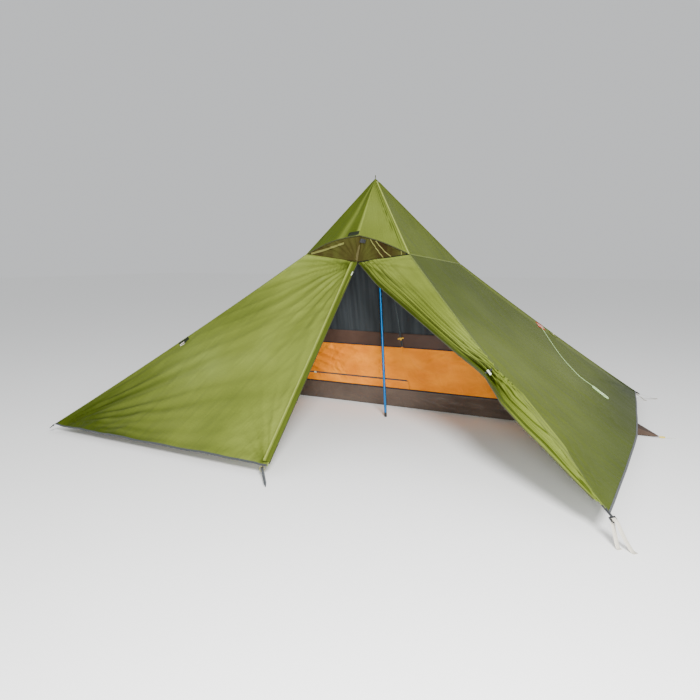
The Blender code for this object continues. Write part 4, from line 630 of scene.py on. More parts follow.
def ripstop_nylon(name, light, base, deep):
    """Coated ripstop nylon in three tones that drift into each other."""
    made, tree, shader = finish_of(name, Roughness=0.45, Specular_IOR_Level=0.10)
    where = add(tree, "TexCoord")
    drift = add(tree, "TexNoise", {"Scale": 1.7, "Detail": 3.0, "Roughness": 0.5},
                Vector=where.outputs["Object"])
    tone = ramp(tree, drift.outputs["Fac"], ((0.30, deep), (0.52, base), (0.74, light)))
    lines = grid_lines(tree, where.outputs["UV"], SQUARE, SQUARE_LINE)
    multiply = {"data_type": "RGBA", "blend_type": "MULTIPLY"}
    shade = add(tree, "Mix", {**multiply, 7: srgb("#D9DCC8")}, i6=tone)
    weak = add(tree, "Math", {"operation": "MULTIPLY", 1: 0.18}, i0=lines)
    tree.links.new(weak.outputs[0], shade.inputs[0])
    # Painted shade: the attribute multiplies the colour towards a dark green where the sheet is
    # shaded.
    painted_shade_amount = add(tree, "Attribute", {"attribute_name": "painted_shade"})
    under = add(tree, "Mix", {**multiply, 7: srgb("#8A944C")}, i6=shade.outputs[2])
    tree.links.new(painted_shade_amount.outputs["Fac"], under.inputs[0])
    pulled = add(tree, "Mapping", {"Scale": (17.0, 2.4, 1.0)}, Vector=where.outputs["UV"])
    creases = add(tree, "TexNoise", {"Scale": 1.0, "Detail": 5.0, "Distortion": 0.5},
                  Vector=pulled.outputs["Vector"])
    height = add(tree, "Math", {"operation": "MULTIPLY_ADD", 1: 0.03}, i0=lines,
                 i2=creases.outputs["Fac"])
    lay_on(tree, shader, under.outputs[2], height.outputs[0], 0.45, 0.020)
    return made


fly_green = ripstop_nylon("coated_ripstop_nylon_green", "#78843F", "#6B7631", "#5E6928")
flap_green = ripstop_nylon("coated_ripstop_nylon_green_light", "#78843F", "#6A7530", "#5D6826")

# %% [markdown]
# ## Cloth from a grid of points
#
# A sheet of cloth is a grid of points with a UV map in metres. Solidify gives it a wall,
# and its inner side is only half a millimetre away, because tent cloth is thinner than paper.

# %% Cloth helper
def cloth(name, grid, finish, body, thick=0.0006, closed=False, panels=None):
    """A sheet through a grid of points, rows first. Each panel's UV map is in metres from its
    middle. Without a body it rides on nothing yet, and is to be joined to another sheet."""
    rows = len(grid)
    cols = len(grid[0])
    mesh = bpy.data.meshes.new(name)
    places = [p for row in grid for p in row]
    faces = []
    spans = cols if closed else cols - 1
    for r in range(rows - 1):
        for c in range(spans):
            a = r * cols + c
            b = r * cols + (c + 1) % cols
            faces.append((a, a + cols, b + cols, b))
    mesh.from_pydata(places, [], faces)
    array = np.array([tuple(p) for p in places]).reshape(rows, cols, 3)
    across = np.zeros((rows, cols + 1))
    steps = np.linalg.norm(np.diff(np.concatenate([array, array[:, :1]], axis=1), axis=1), axis=2)
    across[:, 1:] = np.cumsum(steps, axis=1)
    along = np.zeros((rows, cols))
    along[1:] = np.cumsum(np.linalg.norm(np.diff(array, axis=0), axis=2), axis=0)
    panels = panels or [0, spans]
    middle = np.zeros((rows, spans))
    for start, stop in zip(panels, panels[1:]):
        middle[:, start:stop] = 0.5 * (across[:, start] + across[:, stop])[:, None]
    values = []
    for r in range(rows - 1):
        for c in range(spans):
            for rr, cc in ((r, c), (r + 1, c), (r + 1, c + 1), (r, c + 1)):
                values += [across[rr, cc] - middle[rr, c], along[rr, cc % cols]]
    mesh.uv_layers.new(name="cloth").data.foreach_set("uv", values)
    made = put_down(name, mesh, finish)
    wall = made.modifiers.new("wall", "SOLIDIFY")
    wall.thickness = thick
    wall.offset = -1.0
    if body:
        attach(made, body)
    return made


def area_of(grid):
    """The area of a grid of points, in square metres."""
    a = np.array([[tuple(p) for p in row] for row in grid])
    one = np.linalg.norm(np.cross(a[1:, :-1] - a[:-1, :-1], a[:-1, 1:] - a[:-1, :-1]), axis=2)
    two = np.linalg.norm(np.cross(a[1:, :-1] - a[1:, 1:], a[:-1, 1:] - a[1:, 1:]), axis=2)
    return float((one.sum() + two.sum()) / 2.0)


def darken(obj, grid, amount):
    """Writes the attribute of painted shade from a function of a point's row (0 to 1) and column.
    """
    last = len(grid) - 1
    values = [amount(r / last, c) for r in range(len(grid)) for c in range(len(grid[0]))]
    made = obj.data.attributes.new("painted_shade", "FLOAT", "POINT")
    made.data.foreach_set("value", values)


print("fly cloth: squares drawn %.0f mm apart" % (SQUARE * 1000))

# %% [markdown]
# ## The canopy
#
# The left half of the door, the left side, the back and the right side are sewn together
# at the ridges, so they are one continuous sheet here. Each side is dished a little, as cloth
# under tension is, and its hem is pulled outwards.

# %% Canopy surface
def door_point(s, t):
    """A point of the closed door half, s from the zip to the front-left ridge."""
    a = mix(DOOR_TOP, DOOR_FOOT, t)
    b = ridge("FL", t)
    dish = DISH * math.sin(math.pi * s) * math.sin(math.pi * t)
    return mix(a, b, s) + V(0.0, dish * 0.7, -dish * 0.7)


SIDES = (
    door_point,
    lambda s, t: side_point("FL", "BL", s, t, LEFT),
    lambda s, t: side_point("BL", "BR", s, t, BACK),
    lambda s, t: side_point("BR", "FR", s, t, RIGHT),
)
SIDE_OUT = (V(0, -0.7, 0.7), V(-0.64, 0, 0.77), V(0, 0.7, 0.7), V(0.64, 0, 0.77))

# %% [markdown]
# Folds come from where cloth is pulled. Narrow creases and a fan of shallow folds leave each
# pulled point and fade within half a metre. Broad waves lie between them, and long soft
# folds run with the pull. All of it is 1 or 2 cm high at most, which shows under raking
# light.

# %% Kinds of fold
def crest(x):
    """Narrow ridges with wide valleys between, one for each whole number."""
    return math.exp(-(((x + 0.5) % 1.0 - 0.5) / 0.16) ** 2) - 0.28


def fan(p, centre, heading, spread, count, height, reach, phase=0.0):
    """Sharp folds that radiate from a point across a sheet, fading with distance."""
    away = p - centre
    distance = away.length
    if distance < 1e-4 or distance > reach * 3.5:
        return 0.0
    side = heading.cross(V(0, 0, 1)).normalized()
    angle = math.atan2(away.dot(side), max(1e-4, away.dot(heading)))
    if abs(angle) > spread:
        return 0.0
    window = math.cos(angle / spread * math.pi / 2.0) ** 0.6
    rise = ease(distance / 0.10)
    wobble = 0.12 * noise.noise(p * 7.0)
    wobble += 0.7 * noise.noise(V(angle * 2.6, distance * 1.3, phase * 5.0 + count))
    return (height * window * rise * math.exp(-distance / reach)
            * crest(count * angle / spread + phase + wobble))


FROM_DOOR_TOP = V(-0.55, -0.62, -0.55)  # the headings that the folds spread about
FROM_LEFT_CORNER = V(0.80, 0.42, 0.43)
# A pulled point, its heading, the angles of its creases in radians, their reach in metres.
DOOR_PULLS = (
    (DOOR_TOP, FROM_DOOR_TOP, (-0.44, -0.33, -0.20, -0.06, 0.12, 0.27, 0.45, 0.62, 0.75), 0.30),
    (CORNER["FL"], FROM_LEFT_CORNER,
     (-0.10, -0.04, 0.04, 0.11, 0.20, 0.28, 0.37, 0.45, 0.52), 0.50),
    (V(0.012, -1.325, 0.055), V(-0.15, 0.75, 0.60), (-1.05, -0.75, -0.48, -0.22, 0.02), 0.11),
)
BACK_PULL = (CORNER["BR"], V(-0.55, -0.70, 0.45), (-0.63, -0.50, -0.34, -0.19, -0.05, 0.08), 0.20)


def crease(p, pull):
    """1 in the middle of a crease that leaves a pulled point, 0 beside it."""
    centre, heading, angles, reach = pull
    away = p - centre
    distance = away.length
    if distance < 0.01 or distance > 4.0 * reach:
        return 0.0
    side = heading.cross(V(0, 0, 1)).normalized()
    angle = math.atan2(away.dot(side), away.dot(heading))
    total = 0.0
    for k, middle in enumerate(angles):
        bend = middle + 0.015 * noise.noise(V(distance * 3.0, 5.0 * k, 1.0))
        width = 0.009 * (0.7 + 0.8 * distance / reach)
        length = reach * (0.6 + 0.8 * ((k * 0.37) % 1.0))
        total += math.exp(-((angle - bend) * distance / width) ** 2) * math.exp(-distance / length)
    return min(1.0, total) * ease(distance / 0.05)


def waves(p, scale, height, seed):
    """Broad soft waves, scale of them in a metre."""
    return height * noise.noise(p * scale + V(seed, seed * 1.7, -seed))


def pull_lines(p, heading, side, pitch, height, seed):
    """Long soft folds that run with the pull, broken up by noise."""
    along = p.dot(heading)
    across = p.dot(side)
    place = across / pitch + 0.5 * noise.noise(V(across * 3.0, along * 0.9, seed))
    strength = max(0.0, noise.noise(V(across * 2.2, along * 1.1, seed + 9.0)) + 0.15)
    return height * strength * crest(place)

# %% [markdown]
# Each side has the folds of its own corners. Under the guyline and the patches the cloth is
# kept flat, so that they lie on it.

# %% Folds of each side
def door_folds(s, t, p, edge):
    """The closed half of the door, pulled at the zip's top, its peg and the left corner."""
    high = fan(p, DOOR_FOOT, V(-0.30, 0.75, 0.60), 1.0, 6.0, 0.014, 0.30, 0.4)
    high -= 0.012 * sum(crease(p, pull) for pull in DOOR_PULLS)
    high += fan(p, CORNER["FL"], FROM_LEFT_CORNER, 0.55, 5.0, 0.014, 0.85)
    high += fan(p, DOOR_TOP, FROM_DOOR_TOP, 1.0, 8.0, 0.012, 0.42, 0.7)
    high += pull_lines(p, V(0.72, 0.46, 0.52), V(0.55, -0.60, -0.58), 0.075, 0.008, 3.0) * edge
    from_zip = s * 1.6 * t
    high += 0.004 * bump(from_zip, 0.075, 0.020) * ease(t / 0.1)
    return high


def right_folds(s, t, p, edge):
    """The right side, pulled at both corners and hollow beside the ridge with the open door."""
    high = -0.014 * crease(p, BACK_PULL)
    high += fan(p, CORNER["FR"], V(-0.50, 0.62, 0.60), 0.80, 5.0, 0.014, 0.32, 0.3)
    high += fan(p, V(1.655, 0.02, 0.08), V(-0.77, 0.0, 0.63), 1.20, 7.0, 0.013, 0.24)
    high += pull_lines(p, V(0.62, -0.30, -0.72), V(0.30, 0.93, -0.1), 0.13, 0.009, 5.0) * edge
    from_ridge = (1.0 - s) * 2.6 * mix(0.30, 1.0, t)
    deep = math.sin(math.pi * min(1.0, t * 1.1)) ** 0.5
    high -= 0.014 * ease(from_ridge / 0.10) * math.exp(-max(0.0, from_ridge - 0.10) / 0.16) * deep
    return high


LAID_ON = lead + hank[::12] + [ridge(key, t) for key in ("FL", "BR") for t in (0.48, 0.5, 0.52)]


def flat_under(p):
    """0 under the guyline, its hank and the patches, 1 well away from them."""
    near = min((p - q).length for q in LAID_ON)
    return ease((near - 0.016) / 0.07)


def folds_of(side, p, s, t):
    """How far the cloth stands off its even surface at a place, in metres."""
    edge = min(1.0, 12.0 * s * (1.0 - s)) * min(1.0, 8.0 * t)
    high = waves(p, 1.6, 0.012, side * 7.3) * edge + waves(p, 4.2, 0.0045, side * 3.1) * edge
    if side == 0:
        high += door_folds(s, t, p, edge)
    elif side == 3:
        high += right_folds(s, t, p, edge)
        high *= 1.0 - 0.8 * ease((t - 0.80) / 0.20)
    else:
        # The left side and the back only have folds from their corners.
        first, last = ("FL", "BL") if side == 1 else ("BL", "BR")
        toward = V(0.5, 0.0, 0.45) if side == 1 else V(0.0, -0.5, 0.45)
        for corner, other in ((first, last), (last, first)):
            slant = (CORNER[other] - CORNER[corner]).normalized() * 0.5
            heading = (toward + slant).normalized()
            high += fan(p, CORNER[corner], heading, 0.8, 5.0, 0.009, 0.28, 0.5)
        high += pull_lines(p, V(0, 0, 1), V(0.7, 0.7, 0.0), 0.15, 0.005, side * 2.0) * edge
    high += (0.001 if side == 3 else 0.005) * t ** 6 * math.sin(s * 31.0 + side) * edge
    keep = flat_under(p)
    return high * keep - 0.0012 * (1.0 - keep)

# %% [markdown]
# The grid has more columns near the ridges, where the cloth bends sharply over the seam.

# %% Build the canopy
ROWS = 104
COLUMNS = (144, 60, 60, 124)  # across the door half, left side, back and right side
PANEL_STARTS = [sum(COLUMNS[:k]) for k in range(5)]


def columns(count):
    """Shares from 0 to 1, closer together at both ends."""
    found = []
    for k in range(count + 1):
        x = k / count
        found.append(mix(x, 0.5 - 0.5 * math.cos(math.pi * x), 0.6))
    return found


def canopy_grid():
    """The canopy's points. Folds fade to nothing at the ridges, where the seams hold the cloth."""
    grid = []
    for r in range(ROWS + 1):
        t = r / ROWS
        row = []
        for side, count in enumerate(COLUMNS):
            shares = columns(count)
            for k, s in enumerate(shares):
                if side and k == 0:
                    continue
                p = SIDES[side](s, t)
                seam = 1.0 if side == 0 else min(1.0, 40.0 * s)
                seam *= min(1.0, 40.0 * (1.0 - s))
                row.append(p + SIDE_OUT[side].normalized() * folds_of(side, p, s, t) * seam)
        grid.append(row)
    return grid


def canopy_shade(r, c):
    """Painted shade in creases, at corners and on the dim side, and a painted sheen by a ridge."""
    side = max(k for k in range(4) if c >= PANEL_STARTS[k])
    s = (c - PANEL_STARTS[side]) / COLUMNS[side]
    p = main_grid[round(r * ROWS)][c]
    if side == 0:
        # Painted shade along the door's creases, towards its front-left corner and along its hem.
        drawn = sum(crease(p, pull) for pull in DOOR_PULLS)
        corner = 0.62 * ease((0.35 * r + s * 1.1 - 0.42) / 0.95) * ease(r / 0.3)
        return drawn + corner + 0.15 * ease((r - 0.9) / 0.1) * s
    if side == 3:
        # Painted shade on the right side, more in its creases, top and bottom; a strip by the
        # back-right ridge is left lighter as a painted sheen.
        ends = 0.30 * ease((r - 0.65) / 0.35) + 0.25 * (1.0 - ease(r / 0.45))
        painted_sheen_strip = 0.40 * (1.0 - ease((s - 0.10) / 0.02))
        return 1.5 * crease(p, BACK_PULL) + ends + 0.60 - painted_sheen_strip
    return 0.25


main_grid = canopy_grid()
canopy = cloth("fly_canopy", main_grid, fly_green, "tent", panels=PANEL_STARTS)
darken(canopy, main_grid, canopy_shade)
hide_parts("fly_door_panel", "fly_left_panel", "fly_back_panel", "fly_right_panel")

# %% [markdown]
# ## The cap
#
# The steep top of the fly is one conical sheet with four ridges. Its front edge is the brim
# of the vent hood, a bow that is held up in the middle by the brace. From the brim's middle a
# sharp crease runs up to the peak. Left of it the cloth is darkened with painted shade, and right
# of it folds run beside the front-right ridge, with painted shade in their valleys.

# %% Shape of the hood
def brim(v):
    """The hood's brim, from the front-left ridge (-1) over its peak (0) to the front right (1)."""
    end = CAP["FL"] if v < 0 else CAP["FR"]
    share = 1.0 - abs(v)
    point = mix(end, HOOD, share)
    arch = 0.022 if v < 0 else 0.013
    out = 0.010 * math.sin(math.pi * share) + 0.016 * share ** 2
    return point + V(0.0, -out, arch * math.sin(math.pi * share))


def cap_edge(u):
    """The cap's lower edge all round, u from 0 at the front right clockwise to 5."""
    if u < 1.0:
        return mix(CAP["FR"], CAP["BR"], u)
    if u < 2.0:
        return mix(CAP["BR"], CAP["BL"], u - 1.0)
    if u < 3.0:
        return mix(CAP["BL"], CAP["FL"], u - 2.0)
    return brim(u - 4.0)

# %% Build the cap
CAP_COLS = 40  # across each of its five parts
CAP_ROWS = 56
cap_shares = [side + share for side in range(5) for share in columns(CAP_COLS)[:-1]]


def ridge_distance(side, t):
    """0 at the front-right ridge, growing to 3.2 at the middle of the brim."""
    return (1.0 - side) * t * 3.2


def cap_ruck(u, t, point):
    """How far the cap stands off its even surface: gathers at the top and along the ridge."""
    side = u - int(u)
    edge = min(1.0, 12.0 * side * (1.0 - side))
    ruck = 0.0030 * crest(side * 7.0 + int(u) * 0.3) * bump(t, 0.10, 0.12)
    ruck += waves(point, 9.0, 0.004, 2.0) * math.sin(math.pi * t)
    if 4.0 <= u < 5.0:
        near = ridge_distance(side, t)
        fade = math.sin(math.pi * min(1.0, t * 1.02)) ** 0.5
        ruck += 0.0065 * crest(near * 6.0 - t * 1.6) * bump(near, 0.32, 0.30) * fade
    if 3.0 <= u < 4.0:
        ruck += 0.0035 * crest(side * 3.4 + t * 0.4) * bump(side, 0.72, 0.2) * math.sin(math.pi * t)
    return ruck * edge


def cap_grid():
    """The cap's points, rows closer together near the peak."""
    grid = []
    first = 0.012
    for r in range(CAP_ROWS + 1):
        t = first + (1.0 - first) * (r / CAP_ROWS) ** 1.3
        row = []
        for u in cap_shares:
            edge = cap_edge(u)
            point = mix(PEAK, edge, t)
            side = u - int(u)
            out = V(edge.x, edge.y, 0.0).normalized()
            dish = 0.010 * math.sin(math.pi * side) * math.sin(math.pi * t)
            row.append(point - out * (dish - cap_ruck(u, t, point)))
        grid.append(row)
    return grid


def cap_shade(r, c):
    """Painted shade on the cap: its dark front left, half-dark right side and hood valleys."""
    u = cap_shares[c]
    if u >= 4.0:
        near = ridge_distance(u - 4.0, r)
        valley = max(0.0, crest(near * 6.0 - r * 1.6 + 0.5)) * bump(near, 0.32, 0.25)
        return 0.40 + 1.6 * valley * math.sin(math.pi * r) ** 0.5
    left = ease((u - 2.97) / 0.03) * (1.0 - ease((u - 3.90) / 0.07))
    band = bump(u, 3.66, 0.07) * 0.45
    right = 0.65 * ease(u / 0.03) * (1.0 - ease((u - 0.97) / 0.03)) if u < 1.0 else 0.0
    return max(right, left * 0.95 - band * left)


top_grid = cap_grid()
cap = cloth("fly_cap_cloth", top_grid, fly_green, "tent", closed=True,
            panels=[k * CAP_COLS for k in range(6)])
darken(cap, top_grid, cap_shade)
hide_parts("fly_cap")
print("cap: %.2f square metres" % area_of(top_grid))

# %% [markdown]
# ## The open half of the door
#
# The right half of the door is unzipped, gathered into pleats that start at the zip's top,
# and tied back at the front-right ridge. The pleats lie in a band beside the free edge, and
# the cloth between them and the ridge is smooth. Below the tie it is folded over the ridge
# and lies on the right side as a long narrow band.

# %% The gathered half's edges
FRONT_OUT = V(0.0, -0.69, 0.72).normalized()
RIGHT_OUT = V(0.632, 0.012, 0.775).normalized()
TIE, FLAP_END = 0.54, 0.965  # along the ridge: the tie, and the lower end
TIE_WIDTH = 0.062  # of the gathered cloth at the tie
BELOW_TIE = ((TIE, TIE_WIDTH), (0.64, 0.080), (0.73, 0.066), (0.81, 0.046), (FLAP_END, 0.010))
ridge_run = (CORNER["FR"] - CAP["FR"]).normalized()
flap_left = facing(FRONT_OUT.cross(ridge_run).normalized(), LEFT)
flap_over = facing(RIGHT_OUT.cross(ridge_run).normalized(), BACK)


def free_edge(t):
    """The door half's free edge, from the zip's top (0) past the tie to the corner (1)."""
    seam = ridge("FR", t)
    if t <= TIE:
        top = DOOR_TOP + V(0.004, 0.0, 0.0)
        tied = ridge("FR", TIE) + flap_left * TIE_WIDTH
        droop = 0.034 * ease(t / 0.12) * (1.0 - t / TIE)
        return mix(top, tied, t / TIE) + (DOOR_FOOT - DOOR_TOP).normalized() * droop
    for (t0, w0), (t1, w1) in zip(BELOW_TIE, BELOW_TIE[1:]):
        if t <= t1:
            return seam + flap_left * mix(w0, w1, (t - t0) / (t1 - t0))
    return seam + flap_left * BELOW_TIE[-1][1]

# %% Shape of the gathered door half
PLEAT_TOP, PLEAT_TIE = 0.030, 0.014  # from pleat to pleat, at the top and at the tie
PLEAT_BAND = 0.13  # the pleats fade within this of the free edge
OVER_RIDGE = 0.085  # how far the lower end is folded over the ridge
FROM_TOP_RIGHT = V(0.80, -0.45, -0.40)  # the heading of the folds from the zip's top


def pleat_at(inside, t, s):
    """Which pleat a place lies on, counted from the free edge."""
    pitch = mix(PLEAT_TOP, PLEAT_TIE, ease(t / TIE))
    return inside / pitch + 0.3 * noise.noise(V(s * 4.0, t * 5.0, 1.0))


def flap_point(t, s):
    """A place on the gathered half: t down the ridge from the cap's seam, and s from its edge
    on the side (0) to the free edge (1)."""
    seam = ridge("FR", t)
    free = free_edge(t)
    reach = (free - seam).length
    side = (free - seam).normalized()
    front = facing(side.cross(ridge_run).normalized(), FRONT_OUT)
    low = ease((t - TIE) / 0.10)
    tail = max(0.0, min(1.0, (0.955 - t) / 0.16))
    place = mix(-OVER_RIDGE * low * tail, reach, s)
    aside = side * place if place > 0 else flap_over * -place
    off_ridge = 0.010 * ease((t - TIE) / 0.07 + 1.4) * max(0.45, tail)
    rise = (FRONT_OUT + RIGHT_OUT).normalized() * off_ridge
    gather = (1.0 + 0.8 * bump(t, TIE, 0.10)) * ease(t / 0.06)
    near = max(0.0, place / reach)
    calm = 1.0 - 0.6 * ease((t - TIE - 0.04) / 0.14)
    deep = 0.012 * calm * gather * near ** 0.8 * min(1.0, reach / 0.05) * ease(place / 0.034)
    coarse = math.sin(2.0 * math.pi * 3.5 * s + 0.6)
    from_edge = reach - place
    fine = crest(pleat_at(from_edge, t, s)) * mix(0.0130, 0.0070, ease(t / TIE)) * gather
    fine *= math.exp(-(from_edge / (PLEAT_BAND * calm)) ** 2) * ease(from_edge / 0.012)
    fine *= ease(reach / 0.035)
    fine += (fan(seam + aside, DOOR_TOP, FROM_TOP_RIGHT, 0.75, 6.0, 0.022, 0.20, 0.3)
             * ease(place / 0.05))
    broad = 0.004 * noise.noise(V(s * 2.0, t * 3.0, 4.0))
    broad *= ease(place / 0.03) * ease(from_edge / 0.03)
    normal = front if place > 0 else RIGHT_OUT
    over = 0.003 * crest(place * 26.0) * low * tail if place < 0 else 0.0
    high = coarse * deep - deep * 0.9 * (1.0 - low) + fine + broad + over
    return seam + aside + flap_left * 0.0015 + rise + normal * high

# %% Build the gathered door half
FLAP_ROWS, FLAP_COLS = 150, 120
FLAP_START = 0.004
door_grid = [[flap_point(max(FLAP_START, FLAP_END * r / FLAP_ROWS), c / FLAP_COLS)
              for c in range(FLAP_COLS + 1)] for r in range(FLAP_ROWS + 1)]
flap = cloth("fly_door_flap_cloth", door_grid, flap_green, "door_flap")


def flap_shade(r, c):
    """Painted shade where the rolled edge and the tie bunch the cloth, in pleat valleys and folds.
    """
    t, s = max(FLAP_START, FLAP_END * r), c / FLAP_COLS
    seam, free = ridge("FR", t), free_edge(t)
    inside = (1.0 - s) * (free - seam).length
    rolled = math.exp(-(inside / 0.026) ** 2) * mix(1.0, 0.5, ease((t - TIE) / 0.2))
    band = PLEAT_BAND * (1.0 - 0.75 * ease((t - TIE - 0.04) / 0.14))
    valley = max(0.0, crest(pleat_at(inside, t, s) + 0.5)) * math.exp(-(inside / band) ** 2)
    drawn = max(0.0, fan(mix(seam, free, s), DOOR_TOP, FROM_TOP_RIGHT, 0.75, 6.0, 1.0, 0.22, 0.8))
    return min(1.0, 0.95 * rolled + 0.4 * bump(t, TIE, 0.06) + 1.9 * valley + 2.0 * drawn)


darken(flap, door_grid, flap_shade)
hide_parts("fly_door_flap")
print("gathered door half: %.2f square metres" % area_of(door_grid))

# %% [markdown]
# The other half of the zip's tape is sewn along the free edge. Open, it shows as a dark line.

# %% Zip tape of the gathered half
edge_route, edge_ups = [], []
EDGE_STEPS = 121
for r in range(1, EDGE_STEPS):
    t = FLAP_END * r / EDGE_STEPS
    one, two = flap_point(t, 1.0), flap_point(t, 0.985)
    run = free_edge(t + 0.01) - free_edge(t - 0.01)
    edge_ups.append(facing((one - two).cross(run).normalized(), FRONT_OUT))
    edge_route.append(one + (one - two).normalized() * 0.002)

# %% [markdown]
# ## Strips
#
# Webbing, tapes, seams and bindings are all flat strips that follow a route. One helper lays
# a section with softened edges along it, with its flat side turned to a given direction.

# %% Strip helper
def strap(name, route, width, thick, finish, body, up=None, ups=None):
    """Webbing or tape along a route, its flat face turned up at every point."""
    sections = []
    for i, point in enumerate(route):
        along = step_at(route, i).normalized()
        out = ups[i] if ups else up
        out = (out - along * out.dot(along)).normalized()
        side = along.cross(out)
        w, h = width / 2.0, thick / 2.0
        outline = ((-w, -0.4 * h), (-0.94 * w, -h), (0.94 * w, -h), (w, -0.4 * h),
                   (w, 0.4 * h), (0.94 * w, h), (-0.94 * w, h), (-w, 0.4 * h))
        sections.append([point + side * x + out * y for x, y in outline])
    return section_sweep(name, sections, finish, body)


def arc(centre, radius, start, stop, steps):
    """Points of an arc in a plane, angles in degrees."""
    angles = [math.radians(mix(start, stop, k / steps)) for k in range(steps + 1)]
    return [(centre[0] + radius * math.cos(a), centre[1] + radius * math.sin(a)) for a in angles]


strap("flap_zip_tape", edge_route, 0.007, 0.0012, zip_tape, "door_flap", ups=edge_ups)
print("flap edge: %.2f m" % route_length(edge_route))

# %% [markdown]
# ## Ridge seams
#
# The panels meet in felled seams that run over the ridges. They are what carries the pull from
# the peak to the pegs, so they stand out as taut narrow strips.

# %% Ridge and cap seams
def seam(name, route, ups, finish=seam_cloth):
    """A felled seam. Those that catch the light get a paler copy: a painted highlight."""
    return strap(name, route, SEAM, 0.0016, finish, "tent", ups=ups)


# Where two sides meet, a seam faces between them.
for corner, one, two in (("FL", 0, 1), ("BL", 1, 2), ("BR", 2, 3), ("FR", 0, 3)):
    up = (SIDE_OUT[one].normalized() + SIDE_OUT[two].normalized()).normalized()
    route = [ridge(corner, mix(0.004, 0.985, k / 60)) + up * 0.0010 for k in range(61)]
    seam("ridge_seam_" + corner, route, [up] * len(route))
# The cap's seams start below the rows that are packed round the peak.
for number, corner in enumerate(("FR", "BR", "BL", "FL")):
    route = [row[number * CAP_COLS] for row in top_grid[4:]]
    up = V(route[-1].x, route[-1].y, 0.0).normalized() + V(0, 0, 0.35)
    # The front-right cap seam gets the painted highlight.
    finish = seam_cloth if number else seam_painted_highlight
    seam("cap_seam_" + corner, [p + up * 0.0006 for p in route], [up] * len(route), finish)


def cap_hem(name, start, stop):
    """The seam between the cap and the panel below it."""
    found = [c for c, u in enumerate(cap_shares) if start - 1e-6 <= u <= stop + 1e-6]
    route = [top_grid[-1][c] for c in found]
    ups = [(V(p.x, p.y, 0.0).normalized() + V(0, 0, 0.55)).normalized() for p in route]
    return seam(name, [p + n * 0.0012 for p, n in zip(route, ups)], ups)


for number, tag in enumerate(("right", "back", "left")):
    cap_hem("cap_hem_" + tag, number + 0.02, number + 0.98)
print("seams: 4 on the ridges, 4 on the cap, 3 round it")

# %% [markdown]
# ## The vent
#
# The hood's brim is bound with a narrow tape. A mesh screen closes the vent, gathered into
# creases that fan out from the top of the zip, and two tapes hold it on the right.
# A stiff strap props the brim.

# %% Brim binding
brim_out = V(0.0, -0.86, 0.51)
brim_route = [brim(mix(-0.955, 0.955, k / 80)) for k in range(81)]
brim_route = [p + (p - PEAK).normalized() * 0.0010 for p in brim_route]
binding = strap("brim_binding_tape", brim_route, 0.0052, 0.0018, zip_tape, "tent", up=brim_out)
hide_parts("brim_binding")

# %% Vent screen
def screen_point(x, w, lift=0.0):
    """A place on the vent's screen: w from the brim (0) to the top of the door (1)."""
    upper = brim(x / 0.358) + V(0.0, 0.003, -0.005)
    end = CAP["FL"] if x < DOOR_TOP.x else CAP["FR"]
    lower = mix(DOOR_TOP, end, (x - DOOR_TOP.x) / (end.x - DOOR_TOP.x)) + V(0.0, 0.002, 0.001)
    point = mix(upper, lower, w)
    gap = (upper - lower).length
    angle = math.atan2(x - DOOR_TOP.x, max(0.004, (1.0 - w) * gap + 0.01))
    away = ease(math.hypot(x - DOOR_TOP.x, (1.0 - w) * gap) / 0.05)
    inside = min(1.0, 8.0 * w * (1.0 - w)) * min(1.0, gap / 0.05)
    high = 0.0075 * crest(angle * 3.6 + 0.2) * away * inside
    inward = 0.010 * math.sin(math.pi * w) * min(1.0, gap / 0.08)
    return point + V(0.0, inward - high - lift, 0.0)


def screen_route(x0, x1, w0, w1, lift, steps):
    """A straight route laid on the screen."""
    return [screen_point(mix(x0, x1, k / steps), mix(w0, w1, k / steps), lift)
            for k in range(steps + 1)]


screen_grid = [[screen_point(mix(-0.335, 0.335, c / 110), r / 18) for c in range(111)]
               for r in range(19)]
screen = cloth("vent_mesh_screen", screen_grid, screen_cloth, "tent", thick=0.0004)
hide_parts("vent_screen")
for number, (x0, x1) in enumerate(((0.085, 0.180), (0.125, 0.235), (0.305, 0.307))):
    strap("vent_seam_tape_%d" % number, screen_route(x0, x1, 0.02, 0.98, 0.003, 12),
          0.006, 0.0010, fly_inside, "tent", up=V(0, -1, 0.2))
strap("vent_facing_left", screen_route(-0.325, -0.100, 0.50, 0.20, 0.004, 24),
      0.014, 0.0010, fly_inside, "tent", up=V(0, -1, 0.3))
strap("vent_fastener_patch", screen_route(0.004, 0.046, 0.16, 0.16, 0.004, 6),
      0.026, 0.0016, dark_webbing, "tent", up=V(0, -1, 0.2))
print("vent screen: %.3f square metres" % area_of(screen_grid))

# %% [markdown]
# The brace is a flat prop strap from the zip's top to the middle of the brim. A small dark tab
# is sewn above the brim on its left.

# %% Brace and brim tab
brace_foot = DOOR_TOP + V(-0.008, 0.0020, -0.004)
brace_head = HOOD + V(0.0, 0.0035, -0.00385)
brace_route = [mix(brace_foot, brace_head, k / 14) for k in range(15)]
brace = strap("vent_brace_strap", brace_route, 0.016, 0.0020, brace_cloth, "vent_brace_body",
              up=V(0, -1, 0))
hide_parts("vent_brace")
tab_grid = []
for r in range(5):
    row = []
    for c in range(9):
        edge = brim(mix(-0.215, -0.015, c / 8))
        up = (PEAK - edge).normalized()
        row.append(edge + up * mix(0.034, 0.006, r / 4) + brim_out * 0.0020)
    tab_grid.append(row)
cloth("brim_tab", tab_grid, dark_patch, "tent", thick=0.0010)
print("brace: %.3f m" % route_length(brace_route))

# %% [markdown]
# ## Edges of the closed door
#
# A storm flap is sewn beside the zip and covers it. It is doubled cloth, so it is a little
# stiffer than the panel and stands off it in a shallow roll.

# %% Storm flap
STORM_WIDTH = 0.040
STORM_ROWS = 130
front_side, left_side, back_side, right_side_out = [side.normalized() for side in SIDE_OUT]


